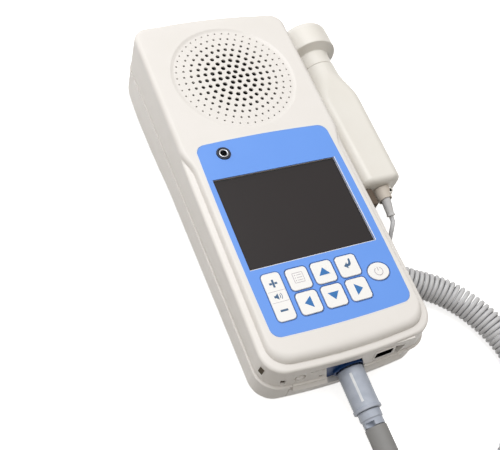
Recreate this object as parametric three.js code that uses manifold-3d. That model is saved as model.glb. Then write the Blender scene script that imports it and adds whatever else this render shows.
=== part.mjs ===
import * as THREE from 'three';
import Module from 'manifold-3d';
import { mergeVertices } from 'three/addons/utils/BufferGeometryUtils.js';

// Table-top fetal doppler monitor for home use: a two-part housing with a screen, nine key functions
// and a loudspeaker, a hand-held probe parked in a holder on its right side, and a curly lead that
// runs from the probe round to the plug in the button end. Millimetres, +Z up, standing on its feet.
// The device frame has its origin in the front face at the middle of the screen, X to the right,
// Y to the speaker end and Z out of the front. The whole device leans back by the tilt.

// Stance and fits
const tiltDegrees = 4.6;
const restDepth = 41.6;
const seatGap = 0.3;
const overrun = 1;

// Housing outline
const bodyHalfWidth = 46.7;
const buttonEndY = -80.8;
const speakerEndY = 136.3;
const endDraft = 1.9;
const wall = 2.2;
const ledgeCorner = 12.5;
const pillowCorner = 11;
const speakerCorner = 9;
const endBow = 1.3;
const bowReach = 30;
const cornerSteps = 6;

// Raised front panel and the ledge round it, which runs out above the screen
const ledgeDepth = 3.5;
const ledgeRound = 1.5;
const ledgeWidth = 3.6;
const ledgeWidthEnd = 3.9;
const pillowRound = 1.7;
const pillowRoundEnd = 4.2;
const edgeRound = 3;
const edgeRoundEnd = 4;
const ledgeRunsOutY = 48;
const ledgeFullY = 33;

// Parting plane between the front and the rear shell
const partingDepth = 20.1;
const partingSlopeShare = -0.0435;

// Back: a thin part behind the keys and the screen, a ramp and a hump behind the loudspeaker
const backDepth = 39.27;
const backSlopeShare = -0.065;
const humpRise = 1;
const rampStartY = 45;
const rampEndY = 80;
const backRound = 3;
const backEndFlare = 1;
const humpRoundStartY = 104;
const humpRoundDepth = 10;
const humpRoundLength = 12;
const backDraft = 0.3;

// Overlay sheet, its window and the display behind it. The window's middle is the device's origin.
const windowX = -0.6;
const windowWidth = 71;
const windowHeight = 53.4;
const windowTopY = windowHeight / 2;
const windowLowY = -windowTopY;
const overlayWidth = 79;
const overlayX = 0.3;
const overlayTopMargin = 23;
const overlayTopY = windowTopY + overlayTopMargin;
const overlayCorner = 5;
const overlayBowSide = 0.8;
const overlayBowEnd = 1.2;
const overlayThickness = 0.6;
const lensLap = 1.8;
const lensThickness = 1.5;
const lensFaceDepth = 1.1;
const displayLap = 2.4;
const displayThickness = 4;

// Keys: two rows of three, a volume rocker on the left and an oval power key on the right
const keyWidth = 11.4;
const keyHeight = 11.7;
const keyCorner = 2;
const keyColumnX = -0.2;
const keyColumnPitch = 13.85;
const keyRowDrop = 10.2;
const keyRowPitch = 13.2;
const upperRowY = windowLowY - keyRowDrop;
const lowerRowY = upperRowY - keyRowPitch;
const keyMiddleY = (upperRowY + lowerRowY) / 2;
const overlayLowMargin = 13.8;
const overlayLowY = lowerRowY - overlayLowMargin;
const overlayHeight = overlayTopY - overlayLowY;
const overlayY = (overlayTopY + overlayLowY) / 2;
const keyProud = 0.8;
const keyFlange = 0.6;
const keyFlangeThickness = 0.8;
const rockerX = -27.7;
const rockerRise = 0.2;
const rockerY = keyMiddleY + rockerRise;
const rockerWidth = 9.6;
const rockerHeight = 25.2;
const rockerFlangeLength = 9;
const powerX = 28.2;
const powerDrop = 0.35;
const powerY = keyMiddleY - powerDrop;
const powerWidth = 11.8;
const powerHeight = 9.7;
const keyGap = 0.35;
const keyTravel = 0.5;
const switchSize = 5;
const switchThickness = 1;
const domeSheetThickness = 0.4;
const domeSheetMargin = 1.5;
const keyBoardThickness = 1.6;
const keyBoardMargin = 4;

// Headphone socket in the overlay's upper left corner
const jackX = -24.5;
const jackInset = 8.3;
const jackY = overlayTopY - jackInset;
const jackCollarRadius = 3.8;
const jackSleeveRadius = 2.6;
const jackBoreRadius = 1.75;
const jackProud = 0.6;
const jackLength = 9;
const jackBodyWidth = 9;
const jackBodyLength = 11;
const jackBodyDepth = 4.5;

// Loudspeaker behind a shallow round dish of drilled holes
const speakerX = 0.4;
const speakerY = 90.6;
const dishRadius = 36.5;
const dishDepth = 1;
const dishSlope = 2;
const dishTiltDegrees = 1.9;
const grillePitch = 4.108;
const grilleHoleRadii = [1.3, 1.3, 1.3, 1.3, 1.15, 1, 0.8];
const fineRing = 5;
const seatDiscDepth = 3.6;
const seatDiscMargin = 1.5;
const gasketThickness = 1.5;
const driverRadius = 33;
const gasketWidth = 4;
const basketDepth = 13;
const basketWall = 1.4;
const basketNeckRadius = 15;
const coneThickness = 0.8;
const coneDepth = 8;
const dustCapRadius = 8;
const magnetDepth = 8;
const magnetRadius = 17;

// Openings in the button end: the plug bay, the data port and the strap recess
const bayLeftX = -14.4;
const bayRightX = 7.6;
const bayTopDepth = 8;
const bayBottomDepth = 27;
const bayLength = 14.5;
const insertOut = 1.2;
const portX = 17.6;
const portWidth = 10.2;
const portTopDepth = 9.4;
const portHeight = 5.6;
const portLength = 9;
const portOut = 0.6;
const portWall = 0.9;
const portFloor = 2;
const strapLeftX = 24.2;
const strapWidth = 6.2;
const strapTopDepth = 8.5;
const strapHeight = 7;
const strapSlant = 1.5;
const strapDepth = 3;
const strapBackWall = 1.6;

// Battery compartment and its sliding door, which wraps round onto the button end
const doorLeftX = -31.6;
const doorRightX = 33.4;
const doorThickness = 2;
const doorReach = 4;
const doorLipInnerY = -79.4;
const doorLipWall = 2;
const doorFrame = 2;
const compartmentStartY = -64;
const compartmentWall = 1.6;
const cellRadius = 7.2;
const cellLength = 50.2;
const cellPitch = 2 * cellRadius + seatGap;
const cellCapRadius = 2.7;
const cellCapLength = 1.2;
const contactThickness = 0.6;
const contactSize = 9;
const cellEndRoom = contactThickness + 2 * seatGap + cellCapLength;
const compartmentEndY = compartmentStartY + cellLength + 2 * cellEndRoom;
const compartmentHalfWidth = 1.5 * cellPitch + cellRadius + seatGap;
const cellDepth = backDepth - backSlopeShare * compartmentStartY - doorThickness - seatGap
  - cellRadius;
const compartmentCeiling = cellDepth - cellRadius - seatGap;
const doorEndY = compartmentEndY + doorReach;

// Circuit board
const boardHalfWidth = 39;
const boardJackGap = 1.9;
const boardEndY = jackY - jackBodyLength / 2 - boardJackGap;
const boardDepth = 11.8;
const boardThickness = 1.6;
const chipX = 12;
const chipY = -8;
const chipSize = 18;
const chipThickness = 1.8;

// Housing screws
const screwX = 38.2;
const lowerScrewY = -64;
const upperScrewY = 119;
const postRadius = 3.6;
const screwBore = 1.5;
const screwRadius = 1.2;
const screwHeadRadius = 2.6;
const screwHeadLength = 2;
const screwHeadRise = 8;
const screwGrip = 6;

// Feet and the bare label
const footRadius = 4;
const footX = 38.6;
const lowerFootY = -53;
const upperFootX = 32;
const upperFootY = 100;
const labelWidth = 44;
const labelLength = 20;
const labelY = 97;
const labelThickness = 0.25;

// Probe: a round head on a neck, a flat grip and the cable's gland
const probeX = 64.8;
const probeDepth = 21;
const headRadius = 16.7;
const headStartY = 109.5;
const headEndY = 128.5;
const headWall = 1.8;
const faceThickness = 4.2;
const faceRound = 3.5;
const neckRadius = 11.2;
const neckJointY = 99.7;
const transducerThickness = 3.5;
const transducerRadius = 13.5;
const gripHalfWidth = 13.4;
const gripHalfThickness = 11.4;
const gripCorner = 6;
const gripStartY = 11.2;
const gripEndRound = 5;
const gripShoulderY = 71;
const gripRoundY = 96;
const gripWall = 1.8;
const gripCornerSteps = 4;
const probeHoleX = 9.2;
const probeHoleZ = -3;
const probeHoleRadius = 1.2;
const probeHoleLength = 3;
const probeBoardStartY = 18;
const probeBoardThickness = 1.6;
const glandX = 1.2;
const glandZ = 0.3;
const glandRadius = 5.6;
const glandEndRadius = 4;
const glandEndY = 4;
const glandBore = 1.8;
const bootStartRadius = 2.9;
const bootEndRadius = 2.2;
const bootLength = 8.5;
const bootDropDegrees = 16.5;
const bootRibs = 2;
const bootGroove = 0.35;
const probeLift = 40;

// Probe holder on the right wall
const holderStartY = -4;
const holderEndY = 90;
const holderTopDepth = 14;
const holderFloorThickness = 3;
const holderFloorWidth = 24;
const holderFloorStartY = 20;
const holderFloorEndY = 78;
const holderStopLength = 14.9;
const holderStopWidth = 6;
const holderStopTopDepth = 15;
const holderFingerLength = 9;
const holderFingerTopDepth = 9.5;

// Plug in the bay
const plugDrop = 0.7;
const plugDepth = (bayTopDepth + bayBottomDepth) / 2 + plugDrop;
const barrelRadius = 6.75;
const barrelEndY = -103.9;
const barrelRim = 0.3;
const barrelRimLength = 1.6;
const noseRadius = 4.4;
const noseLength = 9;
const sleeveRadius = 5.25;
const sleeveEndY = -111.6;
const sleeveStep = 0.5;
const reliefRadius = 5.5;
const reliefTipRadius = 3;
const reliefEndY = -150;
const reliefStraight = 14;

// Cables, with routes in table coordinates: X and Y as the device's, Z above the table
const cableDiameter = 2.75;
const cableSides = 8;
const cableSteps = 18;
const leadSteps = 13;
const curlWire = 2.4;
const curlOuterDiameter = 16;
const curlCount = 49;
const curlSteps = 8;
const curlSides = 5;
const curlAxisHeight = 8.3;
const cableRoute = [
  [65.8, -9.4, 15.8], [65.2, -13.2, 11.2], [64.2, -16.6, 6.2], [62.7, -21.2, 2.7], [60.5, -26.2, 1.6],
];
const curlRoute = [
  [54.5, -36.4], [60.0, -40.2], [64.3, -43.1], [72.9, -48.8], [80.6, -56.2], [87.4, -66.0], [92.3, -76.4],
  [95.6, -88.0], [96.4, -100.0], [94.2, -111.6], [88.8, -122.0], [81.0, -130.6], [70.0, -139.0],
  [60.0, -146.4], [50.0, -154.2], [39.0, -163.0], [28.0, -171.6],
];
const leadRoute = [
  [0, -153.5, 10.8], [0.3, -162.0, 9.6], [2.0, -171.0, 8.5], [6.5, -178.6, 8.0], [12.8, -181.2, 8.0],
  [19.2, -178.2, 8.1],
];

const wasm = await Module();
wasm.setup();

// Shared vertices merged, faces that closed up dropped, and every face turned outward.
function closed(source) {
  const plain = source.index ? source.toNonIndexed() : source.clone();
  for (const name of Object.keys(plain.attributes)) {
    if (name !== 'position') plain.deleteAttribute(name);
  }
  const merged = mergeVertices(plain);
  const corners = [];
  const place = merged.attributes.position;
  const point = (i) => new THREE.Vector3().fromBufferAttribute(place, i);
  let volume = 0;
  for (let i = 0; i < merged.index.count; i += 3) {
    const [a, b, c] = [0, 1, 2].map((k) => merged.index.getX(i + k));
    if (a === b || b === c || c === a) continue;
    corners.push([a, b, c]);
    volume += point(a).dot(point(b).cross(point(c)));
  }
  const order = volume < 0 ? ([a, b, c]) => [a, c, b] : (corner) => corner;
  merged.setIndex(corners.flatMap(order));
  return merged;
}

function solid(source) {
  const merged = closed(source);
  const data = { numProp: 3, vertProperties: merged.attributes.position.array };
  data.triVerts = new Uint32Array(merged.index.array);
  return new wasm.Manifold(new wasm.Mesh(data));
}

function surface(body) {
  const mesh = body.getMesh();
  const result = new THREE.BufferGeometry();
  result.setAttribute('position', new THREE.BufferAttribute(new Float32Array(mesh.vertProperties), 3));
  result.setIndex(Array.from(mesh.triVerts));
  return result;
}

// Rings of equally many points, each counter-clockwise round the way they follow each other.
function loft(rings) {
  const count = rings[0].length;
  const places = rings.flat().flatMap((p) => [p.x, p.y, p.z]);
  const corners = [];
  const last = (rings.length - 1) * count;
  for (let k = 0; k < last; k += count) {
    for (let i = 0; i < count; i += 1) {
      const j = (i + 1) % count;
      corners.push(k + i, k + j, k + count + j, k + i, k + count + j, k + count + i);
    }
  }
  const half = Math.floor(count / 2);
  for (let i = 0; i < half; i += 1) {
    const [a, b, c, d] = [i, i + 1, count - i - 1, (count - i) % count];
    if (b !== c) {
      corners.push(a, c, b, last + a, last + b, last + c);
    }
    if (a !== d) {
      corners.push(a, d, c, last + a, last + c, last + d);
    }
  }
  const result = new THREE.BufferGeometry();
  result.setAttribute('position', new THREE.Float32BufferAttribute(places, 3));
  result.setIndex(corners);
  return result;
}

function block(x0, x1, y0, y1, z0, z1) {
  const box = new THREE.BoxGeometry(x1 - x0, y1 - y0, z1 - z0);
  return box.translate((x0 + x1) / 2, (y0 + y1) / 2, (z0 + z1) / 2);
}

function slab(outline, zBottom, zTop) {
  const shape = new THREE.Shape(outline);
  const sheet = new THREE.ExtrudeGeometry(shape, { depth: zTop - zBottom, bevelEnabled: false });
  return sheet.translate(0, 0, zBottom);
}

// A side outline of (y, z) points, carried from x0 to x1.
function profileBar(points, x0, x1) {
  const outline = points.map(([y, z]) => new THREE.Vector2(y, z));
  const bar = slab(outline, x0, x1);
  return bar.applyMatrix4(new THREE.Matrix4().set(0, 0, 1, 0, 1, 0, 0, 0, 0, 1, 0, 0, 0, 0, 0, 1));
}

function disc(radius, x, y, z0, z1, sides = 12) {
  const round = new THREE.CylinderGeometry(radius, radius, z1 - z0, sides);
  return round.rotateX(Math.PI / 2).translate(x, y, (z0 + z1) / 2);
}

// A closed (radius, height) profile turned round Y, or round Z when upright.
function turned(profile, segments, upright = false) {
  const points = profile.map(([r, h]) => new THREE.Vector2(r, h));
  const ends = [points[0], points[points.length - 1]];
  if (ends.some((p) => p.x > 0)) points.push(points[0].clone());
  const lathe = new THREE.LatheGeometry(points, segments);
  return upright ? lathe.rotateX(Math.PI / 2) : lathe;
}

function roundedRectangle(width, height, corner, x, y, steps = 3) {
  const outline = [];
  for (let k = 0; k < 4; k += 1) {
    const right = k === 0 || k === 3 ? 1 : -1;
    const up = k < 2 ? 1 : -1;
    for (let i = 0; i <= steps; i += 1) {
      const angle = (k + i / steps) * Math.PI / 2;
      const px = right * (width / 2 - corner) + corner * Math.cos(angle);
      const py = up * (height / 2 - corner) + corner * Math.sin(angle);
      outline.push(new THREE.Vector2(x + px, y + py));
    }
  }
  return outline;
}

function oval(width, height, x, y, sides = 20) {
  return Array.from({ length: sides }, (_, i) => {
    const angle = i / sides * 2 * Math.PI;
    return new THREE.Vector2(x + width / 2 * Math.cos(angle), y + height / 2 * Math.sin(angle));
  });
}

const smooth = (from, to, value) => THREE.MathUtils.smoothstep(value, from, to);
const mix = THREE.MathUtils.lerp;
const all = (list) => list.map(solid).reduce((sum, part) => sum.add(part));

const root = new THREE.Group();
const device = new THREE.Group();
const table = new THREE.Group();
device.rotation.x = THREE.MathUtils.degToRad(tiltDegrees);
device.position.z = restDepth * Math.cos(device.rotation.x);
device.updateMatrixWorld();
const toTable = device.matrixWorld.clone();
root.add(device, table);

function piece(parent, name, geometry, color, roughness = 0.5, metalness = 0) {
  const shape = geometry instanceof THREE.BufferGeometry ? closed(geometry) : surface(geometry);
  const mesh = new THREE.Mesh(shape, new THREE.MeshStandardMaterial({ color, roughness, metalness }));
  mesh.name = name;
  parent.add(mesh);
  return mesh;
}

const ivory = 0xefece6;
const blue = 0x74a9ff;
const white = 0xf7f7f5;
const black = 0x1c1c1e;
const steel = 0xb9bcc0;
const greyBlue = 0xaeb8c8;
const rubber = 0x8a8a8a;
const cordGrey = 0xc8c8c8;
const boardGreen = 0x2f6b45;


const keyColumns = [-1, 0, 1].map((k) => keyColumnX + k * keyColumnPitch);

// Depths of the parting plane, the plain back and the whole back at a place along the device.
const restSlope = Math.tan(device.rotation.x);
const partingAt = (y) => -partingDepth + partingSlopeShare * y;
const plainBackAt = (y) => -backDepth + backSlopeShare * y;
const restAt = (y) => -restDepth - restSlope * y;
const backAt = (y) => mix(plainBackAt(y), restAt(y) + humpRise, smooth(rampStartY, rampEndY, y));
const backRoundAt = (y) => mix(backRound, humpRoundDepth, smooth(humpRoundStartY, speakerEndY, y));

// One ring round the housing, starting at the middle of the button end. Insets are measured from the
// outer wall: side and end below the screen, highSide and highEnd at the loudspeaker.
function housingRing(row, stations, heightAt) {
  const lowHalf = bodyHalfWidth - row.side;
  const highHalf = bodyHalfWidth - row.highSide;
  const lowY = buttonEndY + row.end;
  const highY = speakerEndY - row.highEnd;
  const highCorner = speakerCorner - row.highSide;
  const right = [];
  const add = (x, y, bowShare) => {
    const reach = Math.min(x, bodyHalfWidth - ledgeCorner) / bowReach;
    right.push([x, y + bowShare * endBow * reach ** 2]);
  };
  const quarter = Array.from({ length: cornerSteps + 1 }, (_, i) => i / cornerSteps * Math.PI / 2);
  for (const share of [0, 0.5]) add(share * (lowHalf - row.corner), lowY, 1);
  for (const angle of quarter) {
    const x = lowHalf - row.corner + row.corner * Math.sin(angle);
    add(x, lowY + row.corner * (1 - Math.cos(angle)), 1);
  }
  for (const y of stations) {
    add(mix(lowHalf, highHalf, smooth(ledgeFullY, ledgeRunsOutY, y)), y, 0);
  }
  for (const angle of quarter) {
    const x = highHalf - highCorner + highCorner * Math.cos(angle);
    add(x, highY - highCorner + highCorner * Math.sin(angle), -1);
  }
  for (const share of [0.5, 0]) add(share * (highHalf - highCorner), highY, -1);
  const left = right.slice(1, -1).reverse().map(([x, y]) => [-x, y]);
  return [...right, ...left].map(([x, y]) => new THREE.Vector3(x, y, heightAt(y)));
}

// Front shell. Each row of shares gives the ledge round, ledge and panel round taken inwards, the
// ledge round and ledge taken downwards, then the single edge round inwards and downwards.
const rimShares = [
  [0, 0, 0, 1, 1, 0, 1.6],
  [0.3, 0, 0, 0.3, 1, 0, 1.3],
  [1, 0, 0, 0, 1, 0, 1],
  [0, 1, 0, 0, 1, 0.08, 0.62],
  [0, 1, 0.12, 0, 0.6, 0.3, 0.3],
  [0, 1, 0.45, 0, 0.2, 0.62, 0.08],
  [0, 1, 1, 0, 0, 1, 0],
];
const ledgeStations = [0, 1 / 3, 2 / 3, 1].map((share) => mix(ledgeFullY, ledgeRunsOutY, share));
const frontOuterRings = [housingRing(
  { side: 0, end: -endDraft, highSide: 0, highEnd: 0, corner: ledgeCorner },
  ledgeStations,
  (y) => partingAt(y) + seatGap / 2,
)];
for (const [round, ledge, pillow, roundDown, ledgeDown, edge, edgeDown] of rimShares) {
  const row = {
    side: round * ledgeRound + ledge * ledgeWidth + pillow * pillowRound,
    end: round * ledgeRound + ledge * ledgeWidthEnd + pillow * pillowRoundEnd,
    highSide: edge * edgeRound,
    highEnd: edge * edgeRoundEnd,
    corner: ledge ? pillowCorner : ledgeCorner,
  };
  const down = roundDown * ledgeRound + ledgeDown * ledgeDepth;
  const highDown = edgeDown * edgeRound;
  const heightAt = (y) => -mix(down, highDown, smooth(ledgeFullY, ledgeRunsOutY, y));
  frontOuterRings.push(housingRing(row, ledgeStations, heightAt));
}
const frontOuter = solid(loft(frontOuterRings));
const innerCorner = ledgeCorner - wall;
const frontInner = solid(loft([
  [{ side: wall, end: wall - endDraft, highSide: wall, highEnd: wall, corner: innerCorner },
    (y) => partingAt(y) - overrun],
  [{ side: wall, end: wall, highSide: wall, highEnd: wall, corner: innerCorner },
    () => -ledgeDepth - ledgeRound - wall],
  [{ side: ledgeWidth + wall, end: ledgeWidthEnd + wall, highSide: wall, highEnd: wall,
    corner: pillowCorner - wall }, () => -ledgeDepth - wall],
  [{ side: ledgeWidth + pillowRound + wall / 2, end: ledgeWidthEnd + pillowRoundEnd,
    highSide: wall + pillowRound, highEnd: wall + edgeRoundEnd / 2, corner: pillowCorner - wall },
  () => -wall],
].map(([row, heightAt]) => housingRing(row, ledgeStations, heightAt))));

// Overlay outline, with its edges bowed outward between the corners.
function overlayOutline(inset) {
  const halfWidth = overlayWidth / 2 - overlayBowSide;
  const halfHeight = overlayHeight / 2 - overlayBowEnd;
  const straight = roundedRectangle(2 * halfWidth, 2 * halfHeight, overlayCorner, 0, 0, 4);
  const outline = [];
  straight.forEach((from, i) => {
    const to = straight[(i + 1) % straight.length];
    const steps = from.distanceTo(to) > 2 * overlayCorner ? 4 : 1;
    for (let k = 0; k < steps; k += 1) outline.push(from.clone().lerp(to, k / steps));
  });
  return outline.map((p) => new THREE.Vector2(
    overlayX + p.x * (1 + (overlayBowSide * (1 - (p.y / halfHeight) ** 2) - inset) / halfWidth),
    overlayY + p.y * (1 + (overlayBowEnd * (1 - (p.x / halfWidth) ** 2) - inset) / halfHeight),
  ));
}

// Keys: each outline grows by the same gap for its holes and by its flange behind the shell. The
// rocker's flange is short, so that the rocker can tip.
const keyNames = [['key_menu', 'key_up', 'key_enter'], ['key_left', 'key_down', 'key_right']];
const keys = [];
[upperRowY, lowerRowY].forEach((y, row) => {
  keyColumns.forEach((x, column) => {
    const outline = (grow) => roundedRectangle(keyWidth + 2 * grow, keyHeight + 2 * grow,
      keyCorner + grow, x, y, 2);
    keys.push({ name: keyNames[row][column], x, y, outline });
  });
});
keys.push({
  name: 'volume_rocker',
  x: rockerX,
  y: rockerY,
  outline: (grow) => roundedRectangle(rockerWidth + 2 * grow, rockerHeight + 2 * grow,
    keyCorner + grow, rockerX, rockerY, 2),
  flange: roundedRectangle(rockerWidth + 2 * keyFlange, rockerFlangeLength, keyCorner, rockerX,
    rockerY, 1),
});
keys.push({
  name: 'key_power',
  x: powerX,
  y: powerY,
  outline: (grow) => oval(powerWidth + 2 * grow, powerHeight + 2 * grow, powerX, powerY),
});

// Grille: six more holes on each ring outwards, smaller towards the rim, the finest ones square.
const grille = [];
grilleHoleRadii.forEach((radius, ring) => {
  const count = Math.max(1, 6 * ring);
  for (let k = 0; k < count; k += 1) {
    const angle = k / count * 2 * Math.PI;
    const x = speakerX + ring * grillePitch * Math.cos(angle);
    const y = speakerY + ring * grillePitch * Math.sin(angle);
    const sides = ring < fineRing ? 6 : 4;
    grille.push(disc(radius, x, y, -seatDiscDepth - overrun, overrun, sides));
  }
});
const dishProfile = [
  [0, -dishDepth], [dishRadius - dishSlope, -dishDepth], [dishRadius, 0],
  [dishRadius + 2 * overrun, 2 * overrun], [0, 2 * overrun],
];
const dish = turned(dishProfile, 36, true)
  .rotateX(-THREE.MathUtils.degToRad(dishTiltDegrees)).translate(speakerX, speakerY, 0);

const outsideY = buttonEndY - endDraft - backEndFlare - overrun;
const bay = solid(block(bayLeftX, bayRightX, outsideY, buttonEndY + bayLength,
  -bayBottomDepth, -bayTopDepth));
const strapTop = -strapTopDepth;
const strapBottom = -strapTopDepth - strapHeight;
const strapOutline = [
  [strapLeftX, strapTop], [strapLeftX + strapSlant, strapBottom],
  [strapLeftX + strapSlant + strapWidth, strapBottom], [strapLeftX + strapWidth, strapTop],
].map(([x, z]) => new THREE.Vector2(x, z));
const strapBackY = buttonEndY + strapDepth;
const strapCut = slab(strapOutline, -strapBackY, -outsideY).rotateX(Math.PI / 2);
const screwPlaces = [lowerScrewY, upperScrewY].flatMap((y) => [[-screwX, y], [screwX, y]]);

const frontFeatures = all([
  disc(dishRadius + seatDiscMargin, speakerX, speakerY, -seatDiscDepth, -dishDepth, 36),
  ...screwPlaces.map(([x, y]) => disc(postRadius, x, y, partingAt(y) - overrun, -dishDepth, 10)),
]).add(solid(block(strapLeftX - strapBackWall, strapLeftX + strapWidth + strapSlant + strapBackWall,
  outsideY, strapBackY + strapBackWall, partingAt(buttonEndY), -ledgeDepth - ledgeRound)));
const frontCuts = all([
  slab(overlayOutline(0), -overlayThickness - seatGap, overrun),
  block(windowX - windowWidth / 2, windowX + windowWidth / 2, windowLowY, windowTopY,
    -wall - overrun, overrun),
  ...keys.map((key) => slab(key.outline(keyGap), -wall - overrun, overrun)),
  disc(jackSleeveRadius + seatGap, jackX, jackY, -wall - overrun, overrun),
]).add(all([
  ...screwPlaces.map(([x, y]) => disc(screwBore, x, y, partingAt(y) - 2 * overrun,
    partingAt(y) + screwGrip, 8)),
  block(portX - portWidth / 2, portX + portWidth / 2, outsideY, buttonEndY + portLength,
    -portTopDepth - portHeight, -portTopDepth),
  strapCut,
])).add(bay).add(solid(dish)).add(all(grille));
piece(device, 'front_shell', frontOuter.subtract(frontInner).add(frontFeatures.intersect(frontOuter))
  .subtract(frontCuts), ivory);

// Rear shell. The rows run from the back up to the parting plane, with the same shares for the round.
const rearStations = [
  ...[0, 0.25, 0.5, 0.75, 1].map((share) => mix(rampStartY, rampEndY, share)),
  humpRoundStartY, speakerEndY - humpRoundLength - speakerCorner - wall,
];
const roundShares = [[1, 0], [0.45, 0.15], [0.12, 0.5], [0, 1]];
const rearOuterRings = roundShares.map(([inShare, upShare]) => housingRing({
  side: backDraft + inShare * backRound,
  end: inShare * backRound - endDraft - backEndFlare,
  highSide: backDraft + inShare * backRound,
  highEnd: inShare * humpRoundLength,
  corner: ledgeCorner - inShare * backRound,
}, rearStations, (y) => backAt(y) + upShare * backRoundAt(y)));
rearOuterRings.push(housingRing(
  { side: 0, end: -endDraft, highSide: 0, highEnd: 0, corner: ledgeCorner },
  rearStations,
  (y) => partingAt(y) - seatGap / 2,
));
const rearOuter = solid(loft(rearOuterRings));
const rearInner = solid(loft([
  [{ side: backRound + wall, end: backRound + wall - endDraft - backEndFlare,
    highSide: backRound + wall, highEnd: humpRoundLength + wall, corner: innerCorner },
  (y) => backAt(y) + wall],
  [{ side: backDraft + wall, end: wall - endDraft - backEndFlare, highSide: backDraft + wall,
    highEnd: wall, corner: innerCorner }, (y) => backAt(y) + backRoundAt(y) + wall],
  [{ side: wall, end: wall - endDraft, highSide: wall, highEnd: wall, corner: innerCorner },
    (y) => partingAt(y) + overrun],
].map(([row, heightAt]) => housingRing(row, rearStations, heightAt))));

// The battery door is an L: a plate under the compartment and a lip up the button end.
function doorProfile(endY, lipY, plate) {
  const below = -restDepth - backDepth;
  return [
    [outsideY, below], [endY, below], [endY, plainBackAt(endY) + plate],
    [lipY, plainBackAt(lipY) + plate], [lipY, partingAt(lipY) + overrun],
    [outsideY, partingAt(outsideY) + overrun],
  ];
}
const doorCut = profileBar(doorProfile(doorEndY, doorLipInnerY, doorThickness + seatGap),
  doorLeftX, doorRightX);
const doorBody = profileBar(doorProfile(doorEndY - seatGap, doorLipInnerY - seatGap, doorThickness),
  doorLeftX + seatGap, doorRightX - seatGap);
piece(device, 'battery_door', rearOuter.intersect(solid(doorBody)).subtract(bay), ivory);

const frameEndY = doorEndY + doorFrame;
const frameLeftX = doorLeftX - doorFrame;
const frameRightX = doorRightX + doorFrame;
const frameTop = doorThickness + seatGap + doorFrame;
const doorFramePlate = profileBar([
  [doorLipInnerY, plainBackAt(doorLipInnerY) + doorFrame / 2],
  [frameEndY, plainBackAt(frameEndY) + doorFrame / 2],
  [frameEndY, plainBackAt(frameEndY) + frameTop],
  [doorLipInnerY, plainBackAt(doorLipInnerY) + frameTop],
], frameLeftX, frameRightX);
const tubStartY = compartmentStartY - compartmentWall;
const tubEndY = compartmentEndY + compartmentWall;
const tubTop = -compartmentCeiling + compartmentWall;
const tubHalfWidth = compartmentHalfWidth + compartmentWall;
const tub = profileBar([
  [tubStartY, plainBackAt(tubStartY) + doorFrame], [tubEndY, plainBackAt(tubEndY) + doorFrame],
  [tubEndY, tubTop], [tubStartY, tubTop],
], -tubHalfWidth, tubHalfWidth);
const lipBacking = block(frameLeftX, frameRightX, outsideY, doorLipInnerY + doorLipWall,
  plainBackAt(buttonEndY), partingAt(outsideY));
const headTopAt = (y) => partingAt(y) - screwHeadRise;
const rearPosts = screwPlaces.map(([x, y]) => disc(postRadius + screwBore / 2, x, y,
  restAt(y), partingAt(y) + overrun, 10));
const rearCuts = all([
  doorCut,
  block(-compartmentHalfWidth, compartmentHalfWidth, compartmentStartY, compartmentEndY,
    -restDepth, -compartmentCeiling),
  ...screwPlaces.map(([x, y]) => disc(screwHeadRadius + seatGap, x, y, restAt(y) - overrun,
    headTopAt(y), 10)),
]).add(all(screwPlaces.map(([x, y]) => disc(screwBore, x, y, headTopAt(y) - overrun,
  partingAt(y) + overrun, 8)))).add(bay);
piece(device, 'rear_shell', rearOuter.subtract(rearInner)
  .add(all([lipBacking, ...rearPosts]).intersect(rearOuter))
  .add(all([doorFramePlate, tub])).subtract(rearCuts), ivory);

screwPlaces.forEach(([x, y], i) => {
  const top = headTopAt(y) - seatGap;
  const shank = disc(screwRadius, x, y, top - screwHeadLength / 2,
    partingAt(y) + screwGrip - seatGap, 8);
  const head = disc(screwHeadRadius, x, y, top - screwHeadLength, top, 10);
  piece(device, `shell_screw_${i + 1}`, all([head, shank]), steel, 0.35, 1);
});

// Overlay, display and keys
const overlayTop = 0;
const overlayHoles = all([
  block(windowX - windowWidth / 2, windowX + windowWidth / 2, windowLowY, windowTopY, -wall, overrun),
  ...keys.map((key) => slab(key.outline(keyGap), -wall, overrun)),
  disc(jackCollarRadius + seatGap, jackX, jackY, -wall, overrun, 16),
]);
piece(device, 'overlay_panel', solid(slab(overlayOutline(seatGap), -overlayThickness, overlayTop))
  .subtract(overlayHoles), blue, 0.4);
const lensTop = -wall - seatGap;
const lensHalfWidth = windowWidth / 2 + lensLap;
const lensHalfHeight = windowHeight / 2 + lensLap;
const lensFaceHalfWidth = windowWidth / 2 - seatGap;
const lensFaceHalfHeight = windowHeight / 2 - seatGap;
piece(device, 'display_lens', all([
  block(windowX - lensHalfWidth, windowX + lensHalfWidth, -lensHalfHeight, lensHalfHeight,
    lensTop - lensThickness, lensTop),
  block(windowX - lensFaceHalfWidth, windowX + lensFaceHalfWidth, -lensFaceHalfHeight,
    lensFaceHalfHeight, lensTop - lensThickness / 2, -lensFaceDepth),
]), 0x3a3838, 0.2);
const displayTop = lensTop - lensThickness - seatGap;
const displayHalfWidth = windowWidth / 2 + displayLap;
const displayHalfHeight = windowHeight / 2 + displayLap;
piece(device, 'display_module', block(windowX - displayHalfWidth, windowX + displayHalfWidth,
  -displayHalfHeight, displayHalfHeight, displayTop - displayThickness, displayTop), steel, 0.5, 0.6);

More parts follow.
